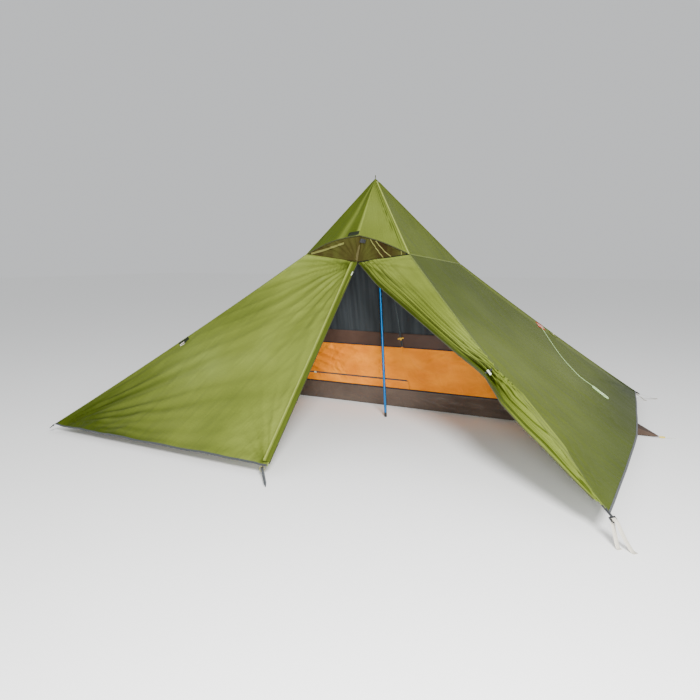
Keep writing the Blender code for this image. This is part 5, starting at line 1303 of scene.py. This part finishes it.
def storm_point(t, w):
    """A place on the storm flap: w metres from the zip's edge into the panel."""
    base = door_point(0.0, t)
    into = (door_point(0.02, t) - base).normalized()
    roll = 0.0030 * math.sin(math.pi * min(1.0, w / STORM_WIDTH))
    ruck = 0.0010 * crest(t * 23.0 + w * 12.0) * min(1.0, 4.0 * w / STORM_WIDTH)
    return base + into * w + front_side * (0.0016 + roll + ruck)


storm_grid = [[storm_point(mix(0.004, 0.984, r / STORM_ROWS), mix(-0.004, STORM_WIDTH, c / 10))
               for c in range(11)] for r in range(STORM_ROWS + 1)]
storm = cloth("storm_flap_cloth", storm_grid, flap_green, "tent", thick=0.0010)
# Painted shade on the storm flap's half by the zip, where the cloth is doubled.
darken(storm, storm_grid, lambda r, c: 0.85 if c < 6 else 0.1)
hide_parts("storm_flap")
seam_route = [storm_point(mix(0.01, 0.98, k / 80), 0.033) + front_side * 0.0012 for k in range(81)]
# The storm flap's seam gets the painted highlight.
seam("storm_flap_seam", seam_route, [front_side] * 81, seam_painted_highlight)
print("storm flap: %.3f square metres" % area_of(storm_grid))

# %% [markdown]
# The door's zip is a nylon coil on a woven tape. The coil's turns are 2 mm apart; here one
# tooth is a small bevelled block and an array repeats it every 6 mm along the straight edge.

# %% Zip chain
run = DOOR_FOOT - DOOR_TOP
zip_y = run.normalized()
across = door_point(0.0, 0.5) - door_point(0.02, 0.5)
zip_x_dir = (across - zip_y * across.dot(zip_y)).normalized()
zip_z = facing(zip_x_dir.cross(zip_y), FRONT_OUT)
zip_place = Matrix((zip_x_dir, zip_y, zip_z)).transposed().to_4x4()
zip_place.translation = DOOR_TOP


def zip_teeth(name, place, start, stop, across_at, width, high, pitch, finish, body):
    """A row of teeth along a placement's Y."""
    bpy.ops.object.select_all(action="DESELECT")
    bpy.ops.mesh.primitive_cube_add(size=1.0, location=(0.0, 0.0, 0.0))
    tooth = bpy.context.object
    tooth.name = name
    tooth.scale = (width, pitch * 0.55, high)
    bpy.ops.object.transform_apply(location=False, rotation=False, scale=True)
    bpy.ops.object.mode_set(mode="EDIT")
    bpy.ops.mesh.select_all(action="SELECT")
    bpy.ops.mesh.bevel(offset=high * 0.22, segments=1)
    bpy.ops.object.mode_set(mode="OBJECT")
    row = tooth.modifiers.new("row", "ARRAY")
    row.use_relative_offset = False
    row.use_constant_offset = True
    row.constant_offset_displace = (0.0, pitch, 0.0)
    row.count = int((stop - start) / pitch)
    bpy.ops.object.modifier_apply(modifier="row")
    tooth.data.transform(place @ Matrix.Translation((across_at, start, 0.0)))
    tooth.data.materials.append(finish)
    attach(tooth, body)
    return tooth


zip_length = run.length
chain = zip_teeth("fly_zip_teeth", zip_place, 0.020, zip_length - 0.020, 0.0036, 0.0050, 0.0024,
                  0.006, acetal_zip, "tent")
tape_route = [zip_place @ V(0.0010, mix(0.012, zip_length - 0.014, k / 40), -0.0012)
              for k in range(41)]
strap("fly_zip_tape", tape_route, 0.012, 0.0008, zip_tape, "tent", up=zip_z)
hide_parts("fly_zip_chain")
print("zip teeth:", len(chain.data.polygons) // 26, "long", round(zip_length, 3))

# %% [markdown]
# ## Hems
#
# A grey tape is folded over the raw edge of each panel and stitched through. The section is a
# U round the cloth, carried along the hem.

# %% Hem tapes
HEM_SECTION = (  # out from the cloth and up from its edge
    (0.0015, 0.010), (0.0017, 0.004), (0.0010, -0.0012), (-0.0018, -0.0012), (-0.0024, 0.004),
    (-0.0021, 0.010), (-0.0011, 0.010), (-0.0012, 0.0004), (0.0005, 0.0004), (0.0005, 0.010))
END_SHIFT = 0.012  # keeps a tape's ends inside its corners


def hem_tape(tag, side):
    """The tape along one side's hem."""
    here = range(PANEL_STARTS[side], PANEL_STARTS[side + 1] + 1)
    hem = [main_grid[-1][c] for c in here]
    above = [main_grid[-2][c] for c in here]
    hint = SIDE_OUT[side].normalized()
    sections = []
    last = len(hem) - 1
    for i, point in enumerate(hem):
        along = step_at(hem, i).normalized()
        up = (above[i] - point).normalized()
        normal = facing(along.cross(up).normalized(), hint)
        shift = along * (END_SHIFT if i == 0 else -END_SHIFT if i == last else 0.0)
        sections.append([point + shift + normal * n + up * u for n, u in HEM_SECTION])
    made = section_sweep("hem_tape_" + tag, sections, grey_webbing, "tent")
    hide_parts("hem_binding_" + tag)


for side, tag in enumerate(("front", "left", "back", "right")):
    hem_tape(tag, side)
print("hem tapes: 4")

# %% [markdown]
# ## Corners
#
# Each corner ends in a folded webbing anchor that holds a ladder lock by its bar. A peg strap
# runs through the lock: one end lies out towards its peg, the other hangs beside it.

# %% Anchors
CORNERS = {"front_left": "FL", "front_right": "FR", "back_right": "BR", "back_left": "BL"}
LOCK_BAR_AT = 0.012  # of the lock's bar, beyond the corner


def on_plane(place, path):
    """Pairs of (y, z) taken into a placement's YZ plane."""
    return [place @ V(0.0, y, z) for y, z in path]


def turned_ups(route, place):
    """The direction square to a route that lies in a placement's YZ plane."""
    across = place.to_3x3() @ V(1.0, 0.0, 0.0)
    return [across.cross(step_at(route, i)).normalized() for i in range(len(route))]


def refine(path, spacing):
    """A path of (y, z) pairs with points added on its long runs."""
    found = [path[0]]
    for a, b in zip(path, path[1:]):
        count = max(1, int(math.dist(a, b) / spacing))
        found += [(mix(a[0], b[0], k / count), mix(a[1], b[1], k / count))
                  for k in range(1, count + 1)]
    return found


def corner_place(key):
    """A placement at a corner: Y out along the ridge, Z up."""
    return frame_at(CORNER[key], CORNER[key] - ridge(key, 0.93), V(0, 0, 1))


for tag, key in CORNERS.items():
    place = corner_place(key)
    turn = 0.0040 * math.sqrt(0.5) + 0.0004 + 0.0007
    path = [(-0.045, 0.0011), (-0.010, 0.0011), (0.002, 0.0017)]
    path += arc((LOCK_BAR_AT, 0.0), turn, 150.0, -170.0, 24)
    route = on_plane(place, refine(path, 0.006))
    finish = grey_webbing if key == "FL" else dark_webbing
    anchor = strap("corner_webbing_" + tag, route, 0.014, 0.0014, finish, "tent",
                   ups=turned_ups(route, place))
    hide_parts("corner_anchor_" + tag)
print("anchors: 4")

# %% Peg straps
STRAP_REACH = {  # how far its working end and its tail lie out
    "front_right": (0.100, 0.052), "back_right": (0.190, 0.070), "back_left": (0.190, 0.070)}
LOCK_TILT = -6.0  # degrees


def peg_strap(tag, key):
    """One strap: up from its tail, over the lock's bar and down to the peg's end."""
    corner = CORNER[key]
    tilt = corner_place(key) @ Matrix.Translation((0.0, LOCK_BAR_AT, 0.0))
    tilt = tilt @ Matrix.Rotation(math.radians(LOCK_TILT), 4, "X")
    bar = tilt @ V(0.0, 0.0020 + 0.0065 + 0.0020, 0.0)
    flat = frame_at(V(bar.x, bar.y, 0.0), V(corner.x, corner.y, 0.0), V(0, 0, 1))
    high, rest, fan_out = bar.z, 0.0010, 0.014
    reach, tail = STRAP_REACH[tag]
    path = [(fan_out, tail, rest), (fan_out * 0.9, tail * 0.75, rest + 0.004),
            (fan_out * 0.5, tail * 0.30, high * 0.50), (fan_out * 0.1, -0.001, high - 0.014)]
    path += [(0.0, y, z) for y, z in arc((0.0, high), 0.0052, 200.0, 25.0, 12)]
    path += [(-fan_out * 0.1, 0.018, high - 0.007), (-fan_out * 0.5, reach * 0.50, high * 0.42),
             (-fan_out * 0.9, reach * 0.78, rest + 0.006), (-fan_out, reach * 0.90, rest),
             (-fan_out, reach, rest)]
    route = smooth_route([flat @ V(*p) for p in path], 0.0035)
    route = [V(p.x, p.y, max(p.z, 0.0008)) for p in route]
    return strap("peg_webbing_" + tag, route, 0.020, 0.0014, white_webbing, "lock_" + tag,
                 ups=turned_ups(route, flat))


for tag in STRAP_REACH:
    made = peg_strap(tag, CORNERS[tag])
    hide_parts("peg_strap_" + tag)
print("peg straps: 3")

# %% [markdown]
# The peg at the middle of the front goes through a small webbing loop sewn under the hem.

# %% Peg loop
PEG_LOOP = 0.0135  # its radius
heading = V(0.66, -0.75, 0.0).normalized()
loop_centre = DOOR_FOOT + V(-0.030, -0.003, -PEG_LOOP - 0.0032)
loop_place = frame_at(loop_centre, V(-heading.y, heading.x, 0.0), V(0, 0, 1))
loop_route = on_plane(loop_place, arc((0.0, 0.0), PEG_LOOP, 60.0, -270.0, 36))
peg_loop = strap("front_peg_webbing", loop_route, 0.008, 0.0014, yellow_webbing, "tent",
                 ups=turned_ups(loop_route, loop_place))
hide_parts("front_peg_loop")
print("peg loop: %.0f mm of webbing" % (route_length(loop_route) * 1000))

# %% [markdown]
# ## Apex loop and guyline patches
#
# A narrow loop on the point lets the tent hang from a branch. Triangular patches double the
# cloth where guylines pull on the ridges, with a short webbing loop on each. The guyline that
# is tied on ends in a red patch of its own, held by two white tapes.

# %% Apex loop
loop_top = PEAK - V(0.0, 0.0, 0.0125 - 0.0004)
loop_place = Matrix.Translation(loop_top) @ Matrix.Rotation(math.radians(35.0), 4, "Z")
rise, leg, wide = 0.0125 + 0.022, 0.00132, 0.0045
path = [(-leg, 0.0), (-leg, 0.0095), (-wide, rise - wide * 2.6)]
path += arc((0.0, rise - wide * 1.7), wide * 1.06, 190.0, -10.0, 16)
path += [(wide, rise - wide * 2.6), (leg, 0.0095), (leg, 0.0)]
route = on_plane(loop_place, path)
apex = strap("apex_webbing_loop", route, 0.0042, 0.0012, zip_tape, "tent",
             ups=turned_ups(route, loop_place))
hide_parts("apex_loop")
print("apex loop stands %.0f mm high" % (rise * 1000))

# %% Ridge patches
def ridge_patch(name, key, out_one, out_two, wide, finish, solid):
    """A triangle of cloth folded over a ridge: broad on the ridge, a point to each side."""
    along = (ridge(key, 0.52) - ridge(key, 0.48)).normalized()
    legs = [facing(along.cross(out).normalized(), -other)
            for out, other in ((out_one, out_two), (out_two, out_one))]
    grid = []
    for r in range(11):
        k = r / 10
        row = []
        for c in range(17):
            w = c / 8 - 1.0
            reach = (wide if w < 0 else 0.030) * (1.0 - 0.35 * abs(2.0 * k - 1.0))
            leg, out = (legs[0], out_one) if w < 0 else (legs[1], out_two)
            up = mix(out_one + out_two, out * 2.0, ease(abs(w) * 3.0)).normalized()
            row.append(ridge(key, 0.5) + along * (k - 0.5) * 0.070 + leg * abs(w) * reach
                       + up * 0.0020)
        grid.append(row)
    made = cloth(name, grid, finish, "tent", thick=0.0009)
    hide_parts(solid)
    return along, legs


left_along, left_legs = ridge_patch("ridge_patch_left", "FL", front_side, left_side, 0.040,
                                    dark_patch, "guy_patch_left")
_, right_legs = ridge_patch("ridge_patch_right", "BR", right_side_out, back_side, 0.060,
                            flap_green, "guy_patch_right")


def pull_loop(name, base, out, along, length):
    """A short folded webbing loop that stands off a patch."""
    path = [(-0.006, 0.0)] + arc((0.0, length), 0.0045, 180.0, 0.0, 12) + [(0.006, 0.0)]
    place = frame_at(base, along, out)
    route = on_plane(place, refine(path, 0.004))
    return strap(name, route, 0.006, 0.0012, white_webbing, "tent", ups=turned_ups(route, place))


pull_loop("guy_loop_left", ridge("FL", 0.5) + left_legs[0] * 0.034 + front_side * 0.0030,
          left_along, front_side, 0.030)
start = side_at(right_side, 0.965, 0.742, 0.0016)
patch_place = frame_at(start, lead[0] - lead[3], right_side_out)
across_patch = [mix(-0.036, 0.036, c / 8) for c in range(9)]
guyline_grid = [[patch_place @ V(x, mix(-0.030, 0.030, r / 10), 0.0) for x in across_patch]
                for r in range(11)]
cloth("guyline_patch", guyline_grid, red_patch, "tent", thick=0.0009)
for k, y in enumerate((-0.009, 0.009)):
    strap("guyline_patch_tape_%d" % k, [patch_place @ V(x, y, 0.0010) for x in across_patch],
          0.008, 0.0010, white_webbing, "tent", up=right_side_out)
pull_loop("guy_loop_right", ridge("BR", 0.5) + right_legs[0] * 0.018 + right_side_out * 0.002,
          right_side_out, right_legs[0], 0.006)
print("ridge patches: 2, with a loop each")

# %% [markdown]
# The gathered door half is held by a strip of elastic that is hooked over the toggle.

# %% Tie of the gathered half
tie_route = []
for k in range(29):
    s = mix(0.30, 1.0, k / 28)
    window = [flap_point(TIE, min(1.0, max(0.0, s + d))) for d in (-0.08, -0.04, 0.0, 0.04, 0.08)]
    tie_route.append(max(window, key=lambda p: p.dot(FRONT_OUT)))
tie_route = [sum((tie_route[min(28, max(0, k + d))] for d in (-2, -1, 0, 1, 2)), V(0, 0, 0)) / 5.0
             + FRONT_OUT * 0.0016 for k in range(29)]
strap("door_tie_elastic", tie_route, 0.010, 0.0012, dark_webbing, "door_flap", up=FRONT_OUT)

# %% [markdown]
# ## Inner tent
#
# The inner tent is half a pyramid behind the pole. Its floor and low walls are coated nylon,
# sewn as a tub. Above that come an orange nylon strip, a brown strip and the mosquito mesh.

# %% Shape of the inner tent
TUB, SHOULDER, TOP = 0.142, 1.020, 1.400
ORANGE_TOP, SILL, BAND_TOP, SEAM_TOP = 0.460, 0.210, 0.560, 1.290
FLOOR_HALF, FLOOR_BACK = 1.500, 1.220  # half its width and its depth, on the ground
TUB_HALF, TUB_BACK = 1.460, 1.170  # the same at the tub's top
WALL_OUT = V(0.0, -1.0, -0.2).normalized()
GAP = 0.0004  # between two cloths that meet


def leaned(z, at_tub, at_shoulder, at_top):
    """A size that shrinks with height, fast to the shoulder and then on to the top."""
    if z <= SHOULDER:
        return mix(at_tub, at_shoulder, (z - TUB) / (SHOULDER - TUB))
    return mix(at_shoulder, at_top, (z - SHOULDER) / (TOP - SHOULDER))


def half_width(z):
    """Half the width of the walls at a height."""
    return leaned(z, TUB_HALF, 0.340, 0.022)


def back_y(z):
    """The place of the back wall at a height."""
    return leaned(z, TUB_BACK, 0.330, 0.062)


def front_y(z):
    """The place of the front wall at a height."""
    return 0.300 - 0.200 * z


def zip_at(z):
    """The place of the upright zip at a height."""
    return 0.170 - 0.105 * z


def seam_at(z):
    """The door's sewn edge, from the sill to the upright zip."""
    return mix(-1.300, zip_at(SEAM_TOP) - 0.020, (z - SILL) / (SEAM_TOP - SILL))


def beside_zip(by):
    """An edge that runs beside the upright zip, to its right where by is positive."""
    return lambda z: zip_at(z) + by


def beside_seam(by):
    """An edge that runs beside the door's sewn edge."""
    return lambda z: seam_at(z) + by


def inside_right(by):
    """An edge that stays inside the wall's right edge."""
    return lambda z: half_width(z) - by


def on_front(x, z, lift=0.0):
    """A place on the front wall, or in front of it."""
    return V(x, front_y(z), z) + WALL_OUT * lift

# %% [markdown]
# Every piece of the front wall is cut from the same slanting plane. Light cloth never hangs
# flat there: coated nylon has slack diagonal creases, and net has long upright folds.

# %% Cloth of the front wall
def front_cloth(name, low, high, left, right, finish, body, relief, rows, cols, lift=0.0,
                thick=0.0005):
    """A piece of the front wall between two heights and two edge functions."""
    grid = []
    for r in range(rows + 1):
        z = mix(high, low, r / rows)
        row = []
        for c in range(cols + 1):
            x = mix(left(z), right(z), c / cols)
            edge = (min(1.0, 10.0 * (c / cols) * (1.0 - c / cols))
                    * min(1.0, 10.0 * (r / rows) * (1.0 - r / rows)))
            row.append(on_front(x, z, lift + relief(x, z) * edge))
        grid.append(row)
    return cloth(name, grid, finish, body, thick=thick), grid


def slack(x, z, size, seed):
    """Diagonal creases of cloth that hangs slack between its seams, in two directions."""
    p = V(x, z * 1.6, seed)
    soft = noise.noise(p * 3.0) + 0.5 * noise.noise(p * 8.0)
    lines = crest(x * 5.0 + z * 9.0 + 1.5 * noise.noise(p * 2.0))
    lines *= max(0.0, noise.noise(p * 2.3 + V(5, 0, 0)) + 0.2)
    other = crest(x * 7.0 - z * 11.0 + 1.2 * noise.noise(p * 2.6))
    other *= max(0.0, noise.noise(p * 1.9 + V(0, 7, 0)) + 0.1)
    return size * (0.7 * soft + 1.8 * lines + 1.6 * other)


def slacked(size, seed):
    """The slack creases as a function of place."""
    return lambda x, z: slack(x, z, size, seed)


def netted(size, seed):
    """Long upright folds of net that hangs from its seams, as a function of place."""
    def hung(x, z):
        folds = crest(x * 9.0 + 2.0 * noise.noise(V(x * 3.0, z * 0.8, seed)))
        return size * (folds + noise.noise(V(x * 6.0, z, seed)))
    return hung


print("inner tent: %.2f m wide at the floor" % (2 * half_width(TUB)))

# %% [markdown]
# The tub is one sheet: its walls lean in, its corners are folded and its floor lies flat. The
# front wall sags in shallow scallops between its stitched ends, and these catch the light.

# %% Tub
FLOOR = 0.0012  # the middle of the floor's cloth
RING = (120, 40, 60, 40)  # points on its front, right, back and left
WALL_ROWS = 14


def tub_ring(z, inset):
    """A closed row of points round the tub at a height."""
    share = z / TUB
    half = mix(FLOOR_HALF, TUB_HALF, share) - inset
    front = front_y(z) + inset
    back = mix(FLOOR_BACK, TUB_BACK, share) - inset
    corners = [V(-half, front, z), V(half, front, z), V(half, back, z), V(-half, back, z)]
    found = []
    for side, count in enumerate(RING):
        a, b = corners[side], corners[(side + 1) % 4]
        for k in range(count):
            found.append(mix(a, b, k / count))
    return found


def tub_grid():
    """The walls from their top down, then the floor from its edge to a ring in its middle."""
    grid = []
    for r in range(WALL_ROWS + 1):
        z = max(FLOOR, (TUB - 0.001) * (1.0 - r / WALL_ROWS))
        row = tub_ring(z, 0.0)
        for i, p in enumerate(row):
            if not 2 < r < WALL_ROWS:
                continue
            if i < RING[0]:
                along = i / RING[0]
                edge = min(1.0, 12.0 * along * (1.0 - along)) * math.sin(math.pi * r / WALL_ROWS)
                p += V(0.0, -1.0, 0.0) * (slack(p.x * 1.3, z * 3.0, 0.011, 3.0) - 0.002) * edge
            else:
                out = V(p.x, p.y - 0.7, 0.0).normalized()
                p += out * waves(p, 7.0, 0.003, 1.0) * math.sin(math.pi * r / WALL_ROWS)
        grid.append(row)
    for inset in (0.012, 0.05, 0.15, 0.30, 0.42):
        row = tub_ring(FLOOR, inset)
        for p in row:
            p.z = FLOOR + max(0.0, 0.003 * noise.noise(p * 4.0)) * min(1.0, inset / 0.05)
        grid.append(row)
    return grid


floor_grid = tub_grid()
tub = cloth("bathtub_cloth", floor_grid, tub_cloth, "tent", closed=True, thick=0.0005)
# One flat face fills the last ring of the floor.
mesh = bmesh.new()
mesh.from_mesh(tub.data)
mesh.verts.ensure_lookup_table()
mesh.faces.new(mesh.verts[-len(floor_grid[0]):])
mesh.to_mesh(tub.data)
mesh.free()
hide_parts("bathtub_floor")
tub_seam = [on_front(mix(-1.455, 1.455, k / 80), TUB - 0.001, 0.0016) for k in range(81)]
strap("tub_top_seam", tub_seam, 0.010, 0.0010, dark_webbing, "tent", up=WALL_OUT)
print("tub without the middle of its floor: %.2f square metres"
      % area_of([row + row[:1] for row in floor_grid]))

# %% [markdown]
# A gusset of the floor's cloth runs from each front corner of the tub to the cord that pulls
# it out. It is drawn in to a point there, and folds fan out from that point.

# %% Gussets
def gusset(name, side, solid):
    """The triangle of floor cloth that runs from the tub's corner to its peg cord."""
    tip = V(side * 1.775, 0.310, 0.0065)
    low, high = V(side * 1.5012, 0.302, 0.0015), V(side * 1.4730, 0.2830, 0.100)
    back = V(side * 1.4773, 0.620, 0.085)
    grid = []
    for r in range(25):
        k = mix(1.0, 0.035, r / 24)
        row = []
        for c in range(21):
            s = c / 20
            edge = mix(low, high, s * 2.0) if s < 0.5 else mix(high, back, s * 2.0 - 1.0)
            p = mix(tip, edge, k)
            middle = math.sin(math.pi * min(1.0, (1.0 - k) * 1.6 + 0.05))
            ruck = 0.006 * crest(s * 4.0 + 0.2) * middle * min(1.0, 6.0 * s * (1.0 - s))
            row.append(p + V(0.0, -0.4, 0.8) * ruck)
        grid.append(row)
    made = cloth(name, grid, gusset_brown, "tent", thick=0.0005)
    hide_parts(solid)


gusset("gusset_cloth_right", 1.0, "corner_gusset_right")
gusset("gusset_cloth_left", -1.0, "corner_gusset_left")
print("gussets: 2")

# %% [markdown]
# The orange strip is cut in three: the sill and the piece right of the zip are one panel, and
# the third hangs on the door. Coated nylon this light never hangs flat, so creases run across
# it between the places where it is pulled.

# %% Orange panels
def joined(name, first, second, body):
    """Joins two unridden cloths into one piece."""
    bpy.ops.object.select_all(action="DESELECT")
    for made in (first, second):
        bpy.context.view_layer.objects.active = made
        made.select_set(True)
        bpy.ops.object.modifier_apply(modifier="wall")
    bpy.context.view_layer.objects.active = first
    bpy.ops.object.join()
    first.name = name
    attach(first, body)
    return first


sill, sill_grid = front_cloth("inner_sill", TUB, SILL - GAP, lambda z: -half_width(z) + 0.101,
                              zip_at, orange, None, slacked(0.0025, 1.0), 8, 130)
right_part, right_grid = front_cloth("inner_right", TUB, ORANGE_TOP, beside_zip(GAP),
                                     inside_right(0.001), orange, None, slacked(0.0085, 2.0),
                                     40, 120)
fixed_orange = joined("inner_orange_panel", sill, right_part, "tent")
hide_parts("inner_front_orange")
door_orange, grid = front_cloth("inner_door_orange_cloth", SILL + GAP, ORANGE_TOP,
                                beside_seam(2.0 * GAP), beside_zip(-GAP), orange, "inner_door",
                                slacked(0.0075, 4.0), 34, 120)
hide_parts("inner_door_orange")

# %% [markdown]
# The mosquito mesh hangs above the orange cloth, one panel fixed and one on the door. A brown
# strip of nylon is sewn over its lower edge.

# %% Mesh panels
def mesh_left(z):
    """The fixed panel's left edge: the zip, and above it the wall's own edge."""
    return zip_at(z) + GAP if z <= SEAM_TOP else 0.002 - half_width(z)


front_mesh, grid = front_cloth("inner_mesh_panel", ORANGE_TOP + GAP, TOP - 0.001, mesh_left,
                               inside_right(0.001), mesh_cloth, "tent", netted(0.0025, 1.0),
                               60, 70, thick=0.0004)
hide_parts("inner_front_mesh")
door_mesh, grid = front_cloth("inner_door_mesh_cloth", ORANGE_TOP + GAP, SEAM_TOP - 0.02,
                              beside_seam(2.0 * GAP), beside_zip(-GAP), mesh_cloth, "inner_door",
                              netted(0.0025, 2.0), 60, 100, thick=0.0004)
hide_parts("inner_door_mesh")
front_cloth("inner_band_right", ORANGE_TOP, BAND_TOP, beside_zip(0.006), inside_right(0.004),
            brown_band, "tent", slacked(0.0020, 6.0), 14, 80, lift=0.0045)
front_cloth("inner_band_door", ORANGE_TOP + 0.001, BAND_TOP, beside_seam(0.004),
            beside_zip(-0.006), brown_band, "inner_door", slacked(0.0020, 8.0), 14, 90,
            lift=0.0045)
print("front mesh and bands: 4 pieces")

# %% [markdown]
# The side and back walls are mesh from the tub to the top. They are seen only through the
# door and from below, so they carry the same hanging folds with fewer points.

# %% Side and back walls
def wall_row(points, counts, fold, z):
    """One row of a wall through its corners, with folds between them."""
    row = []
    for a, b, count in zip(points, points[1:], counts):
        normal = (b - a).cross(V(0, 0, 1)).normalized()
        for k in range(count):
            high = math.sin(math.pi * k / count) * crest(k * 0.9 + noise.noise(V(k, z * 2.0, 0)))
            row.append(mix(a, b, k / count) + normal * fold * high)
    return row + [points[-1]]


def left_wall_grid():
    """The left wall, and the strip of the front wall between it and the door."""
    grid = []
    for r in range(45):
        z = mix(TOP - 0.001, TUB + GAP, r / 44)
        edge = -half_width(z)
        if z < SILL:
            start = edge + 0.1002
        elif z <= SEAM_TOP:
            start = seam_at(z) - GAP
        else:
            start = edge + 0.0009
        corners = [on_front(start, z), on_front(edge, z), V(edge, back_y(z) - 0.001, z)]
        grid.append(wall_row(corners, (6, 30), 0.003, z))
    return grid


def right_wall_grid():
    """The right wall and the back wall in one."""
    grid = []
    for r in range(41):
        z = mix(TOP - 0.001, TUB + 0.001, r / 40)
        edge = half_width(z)
        corners = [V(edge, front_y(z) + 0.0016, z), V(edge, back_y(z), z),
                   V(0.001 - edge, back_y(z), z)]
        grid.append(wall_row(corners, (30, 44), -0.003, z))
    return grid


for name, grid, solid, size in (
        ("inner_wall_left_mesh", left_wall_grid(), "inner_wall_left", (1.0, 1.4)),
        ("inner_wall_right_mesh", right_wall_grid(), "inner_wall_right_back", (2.6, 1.4))):
    made = cloth(name, grid, mesh_cloth, "tent", thick=0.0004)
    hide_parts(solid)
    print(name, "%.2f square metres" % area_of(grid))

# %% [markdown]
# A webbing strap behind the pole hangs the top of the inner tent from the fly's cap.

# %% Top strap
STRAP_FOOT, STRAP_TOP = 1.388, 1.597 - 0.074
BEHIND_POLE = 0.026
behind_mesh = 0.001 + GAP + 0.0007  # the mesh, a gap and half the webbing
rise = STRAP_TOP - STRAP_FOOT
path = [(behind_mesh, 0.0), (behind_mesh - 0.0024, 0.012), (BEHIND_POLE * 0.46, rise * 0.37),
        (BEHIND_POLE, rise - 0.012), (BEHIND_POLE, rise)]
strap_place = Matrix.Translation(on_front(0.0, STRAP_FOOT))
route = on_plane(strap_place, refine(path, 0.01))
top_strap = strap("top_strap_webbing", route, 0.012, 0.0014, dark_webbing, "tent",
                  ups=turned_ups(route, strap_place))
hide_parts("inner_top_strap")
print("top strap: %.0f mm" % (route_length(route) * 1000))

# %% [markdown]
# The inner zip is L-shaped: along the sill, then up to the top. Its tape is blue-grey. A
# cover of orange cloth lies over the upright part's lower end.

# %% Inner zip
SILL_ZIP = 1.280  # how far left the sill's zip starts
ZIP_PITCH = 0.008  # teeth drawn every 8 mm
zip_top = SEAM_TOP - 0.030
zip_corner, zip_middle, zip_end = [(zip_at(z), z) for z in (SILL, ORANGE_TOP, zip_top)]
level_start = (-SILL_ZIP, SILL)
level_length = SILL_ZIP + zip_corner[0]


def front_tape(name, a, b, width, lift, finish, body="tent"):
    """A straight tape on the front wall between two (x, z) places."""
    route = [on_front(mix(a[0], b[0], k / 40), mix(a[1], b[1], k / 40), lift) for k in range(41)]
    strap(name, route, width, 0.0008, finish, body, up=WALL_OUT)


front_tape("inner_zip_tape_sill", level_start, zip_corner, 0.011, 0.0006, zip_tape_grey)
front_tape("inner_zip_cover", zip_corner, zip_middle, 0.014, 0.0014, orange)
front_tape("inner_zip_tape_upright", zip_middle, zip_end, 0.009, 0.0010, zip_tape_grey)
level_place = frame_at(on_front(*level_start, 0.0020), V(1, 0, 0), WALL_OUT)
upright_place = frame_at(on_front(*zip_corner, 0.0018), on_front(*zip_end) - on_front(*zip_corner),
                         WALL_OUT)
level = zip_teeth("inner_zip_teeth_sill", level_place, 0.0, level_length, 0.0, 0.0045, 0.0018,
                  ZIP_PITCH, acetal_zip, "tent")
zip_teeth("inner_zip_teeth_upright", upright_place, ORANGE_TOP - SILL, zip_top - SILL, 0.0,
          0.0032, 0.0008, ZIP_PITCH, acetal_zip, "tent")
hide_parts("inner_zip_chain")
print("inner zip: %.2f m" % (level_length + zip_top - SILL))

# %% Seam over the orange cloth
front_tape("inner_orange_seam_right", (zip_middle[0] + 0.008, ORANGE_TOP),
           (half_width(ORANGE_TOP) - 0.01, ORANGE_TOP), 0.008, 0.0056, dark_webbing)
front_tape("inner_orange_seam_door", (seam_at(ORANGE_TOP) + 0.01, ORANGE_TOP),
           (zip_middle[0] - 0.008, ORANGE_TOP), 0.008, 0.0056, dark_webbing, "inner_door")
print("seams over the orange cloth: 2")

# %% [markdown]
# ## The rigid solids
#
# Buckles, sliders, toggles, the pole and the peg keep their solid shape and get their finish:
# moulded acetal, drawn and anodised aluminium.

# %% Finish the rigid solids
def paint(material, *names):
    """Gives solids of the frame a finish."""
    for name in names:
        for place in nodes[name].material_slots:
            place.material = material


paint(anodised, *["pole_section_%d" % k for k in (1, 2, 3, 4)])
paint(acetal, *["ladder_lock_" + tag for tag in CORNERS], "pole_foot", "apex_cup", "fly_zip_slider")
paint(acetal_pale, "fly_zip_pull", "inner_slider_sill", "door_toggle")
paint(acetal_yellow, "tie_out_toggle_left", "tie_out_toggle_right")
paint(acetal_orange, "inner_slider_upright")
paint(bare_metal, "ground_peg_front", "pole_tip")
paint(cord_white, "pole_shock_cord")
print("rigid solids painted")

# %% [markdown]
# ## Floor and light
#
# The tent stands on a plain pale floor. A large soft lamp to the right of the camera gives
# the bright cap and door and leaves the left side of the cap in half shade, which painted shade
# on the cloth deepens.

# %% Floor and light
SKY_STRENGTH, KEY_WATTS, FILL_WATTS = 0.78, 560.0, 120.0
bpy.ops.object.select_all(action="DESELECT")
bpy.ops.mesh.primitive_plane_add(size=60.0, location=(0.0, 0.0, -0.001))
floor = bpy.context.object
floor.name = "studio_floor"
paper, _, _ = finish_of("matte_studio_paper", Base_Color=srgb("#FBFBFA"), Roughness=1.0,
                        Specular_IOR_Level=0.0)
floor.data.materials.append(paper)
world = bpy.data.worlds.new("studio")
world.use_nodes = True
sky = world.node_tree.nodes["Background"].inputs
sky["Color"].default_value = srgb("#F4F6F8")
sky["Strength"].default_value = SKY_STRENGTH
bpy.context.scene.world = world


def lamp(name, place, aim, size, power):
    """A round soft lamp that points at a place."""
    data = bpy.data.lights.new(name, "AREA")
    data.shape = "DISK"
    data.size = size
    data.energy = power
    made = bpy.data.objects.new(name, data)
    made.location = place
    made.rotation_euler = (aim - place).to_track_quat("-Z", "Y").to_euler()
    bpy.context.collection.objects.link(made)
    return made


key_lamp = lamp("key_lamp", V(3.0, -4.6, 3.3), V(0, 0, 0.6), 1.4, KEY_WATTS)
fill_lamp = lamp("fill_lamp", V(2.0, -4.0, 0.95), V(-0.2, 0.3, 0.3), 0.8, FILL_WATTS)
print("lamps: %.0f and %.0f W" % (KEY_WATTS, FILL_WATTS))
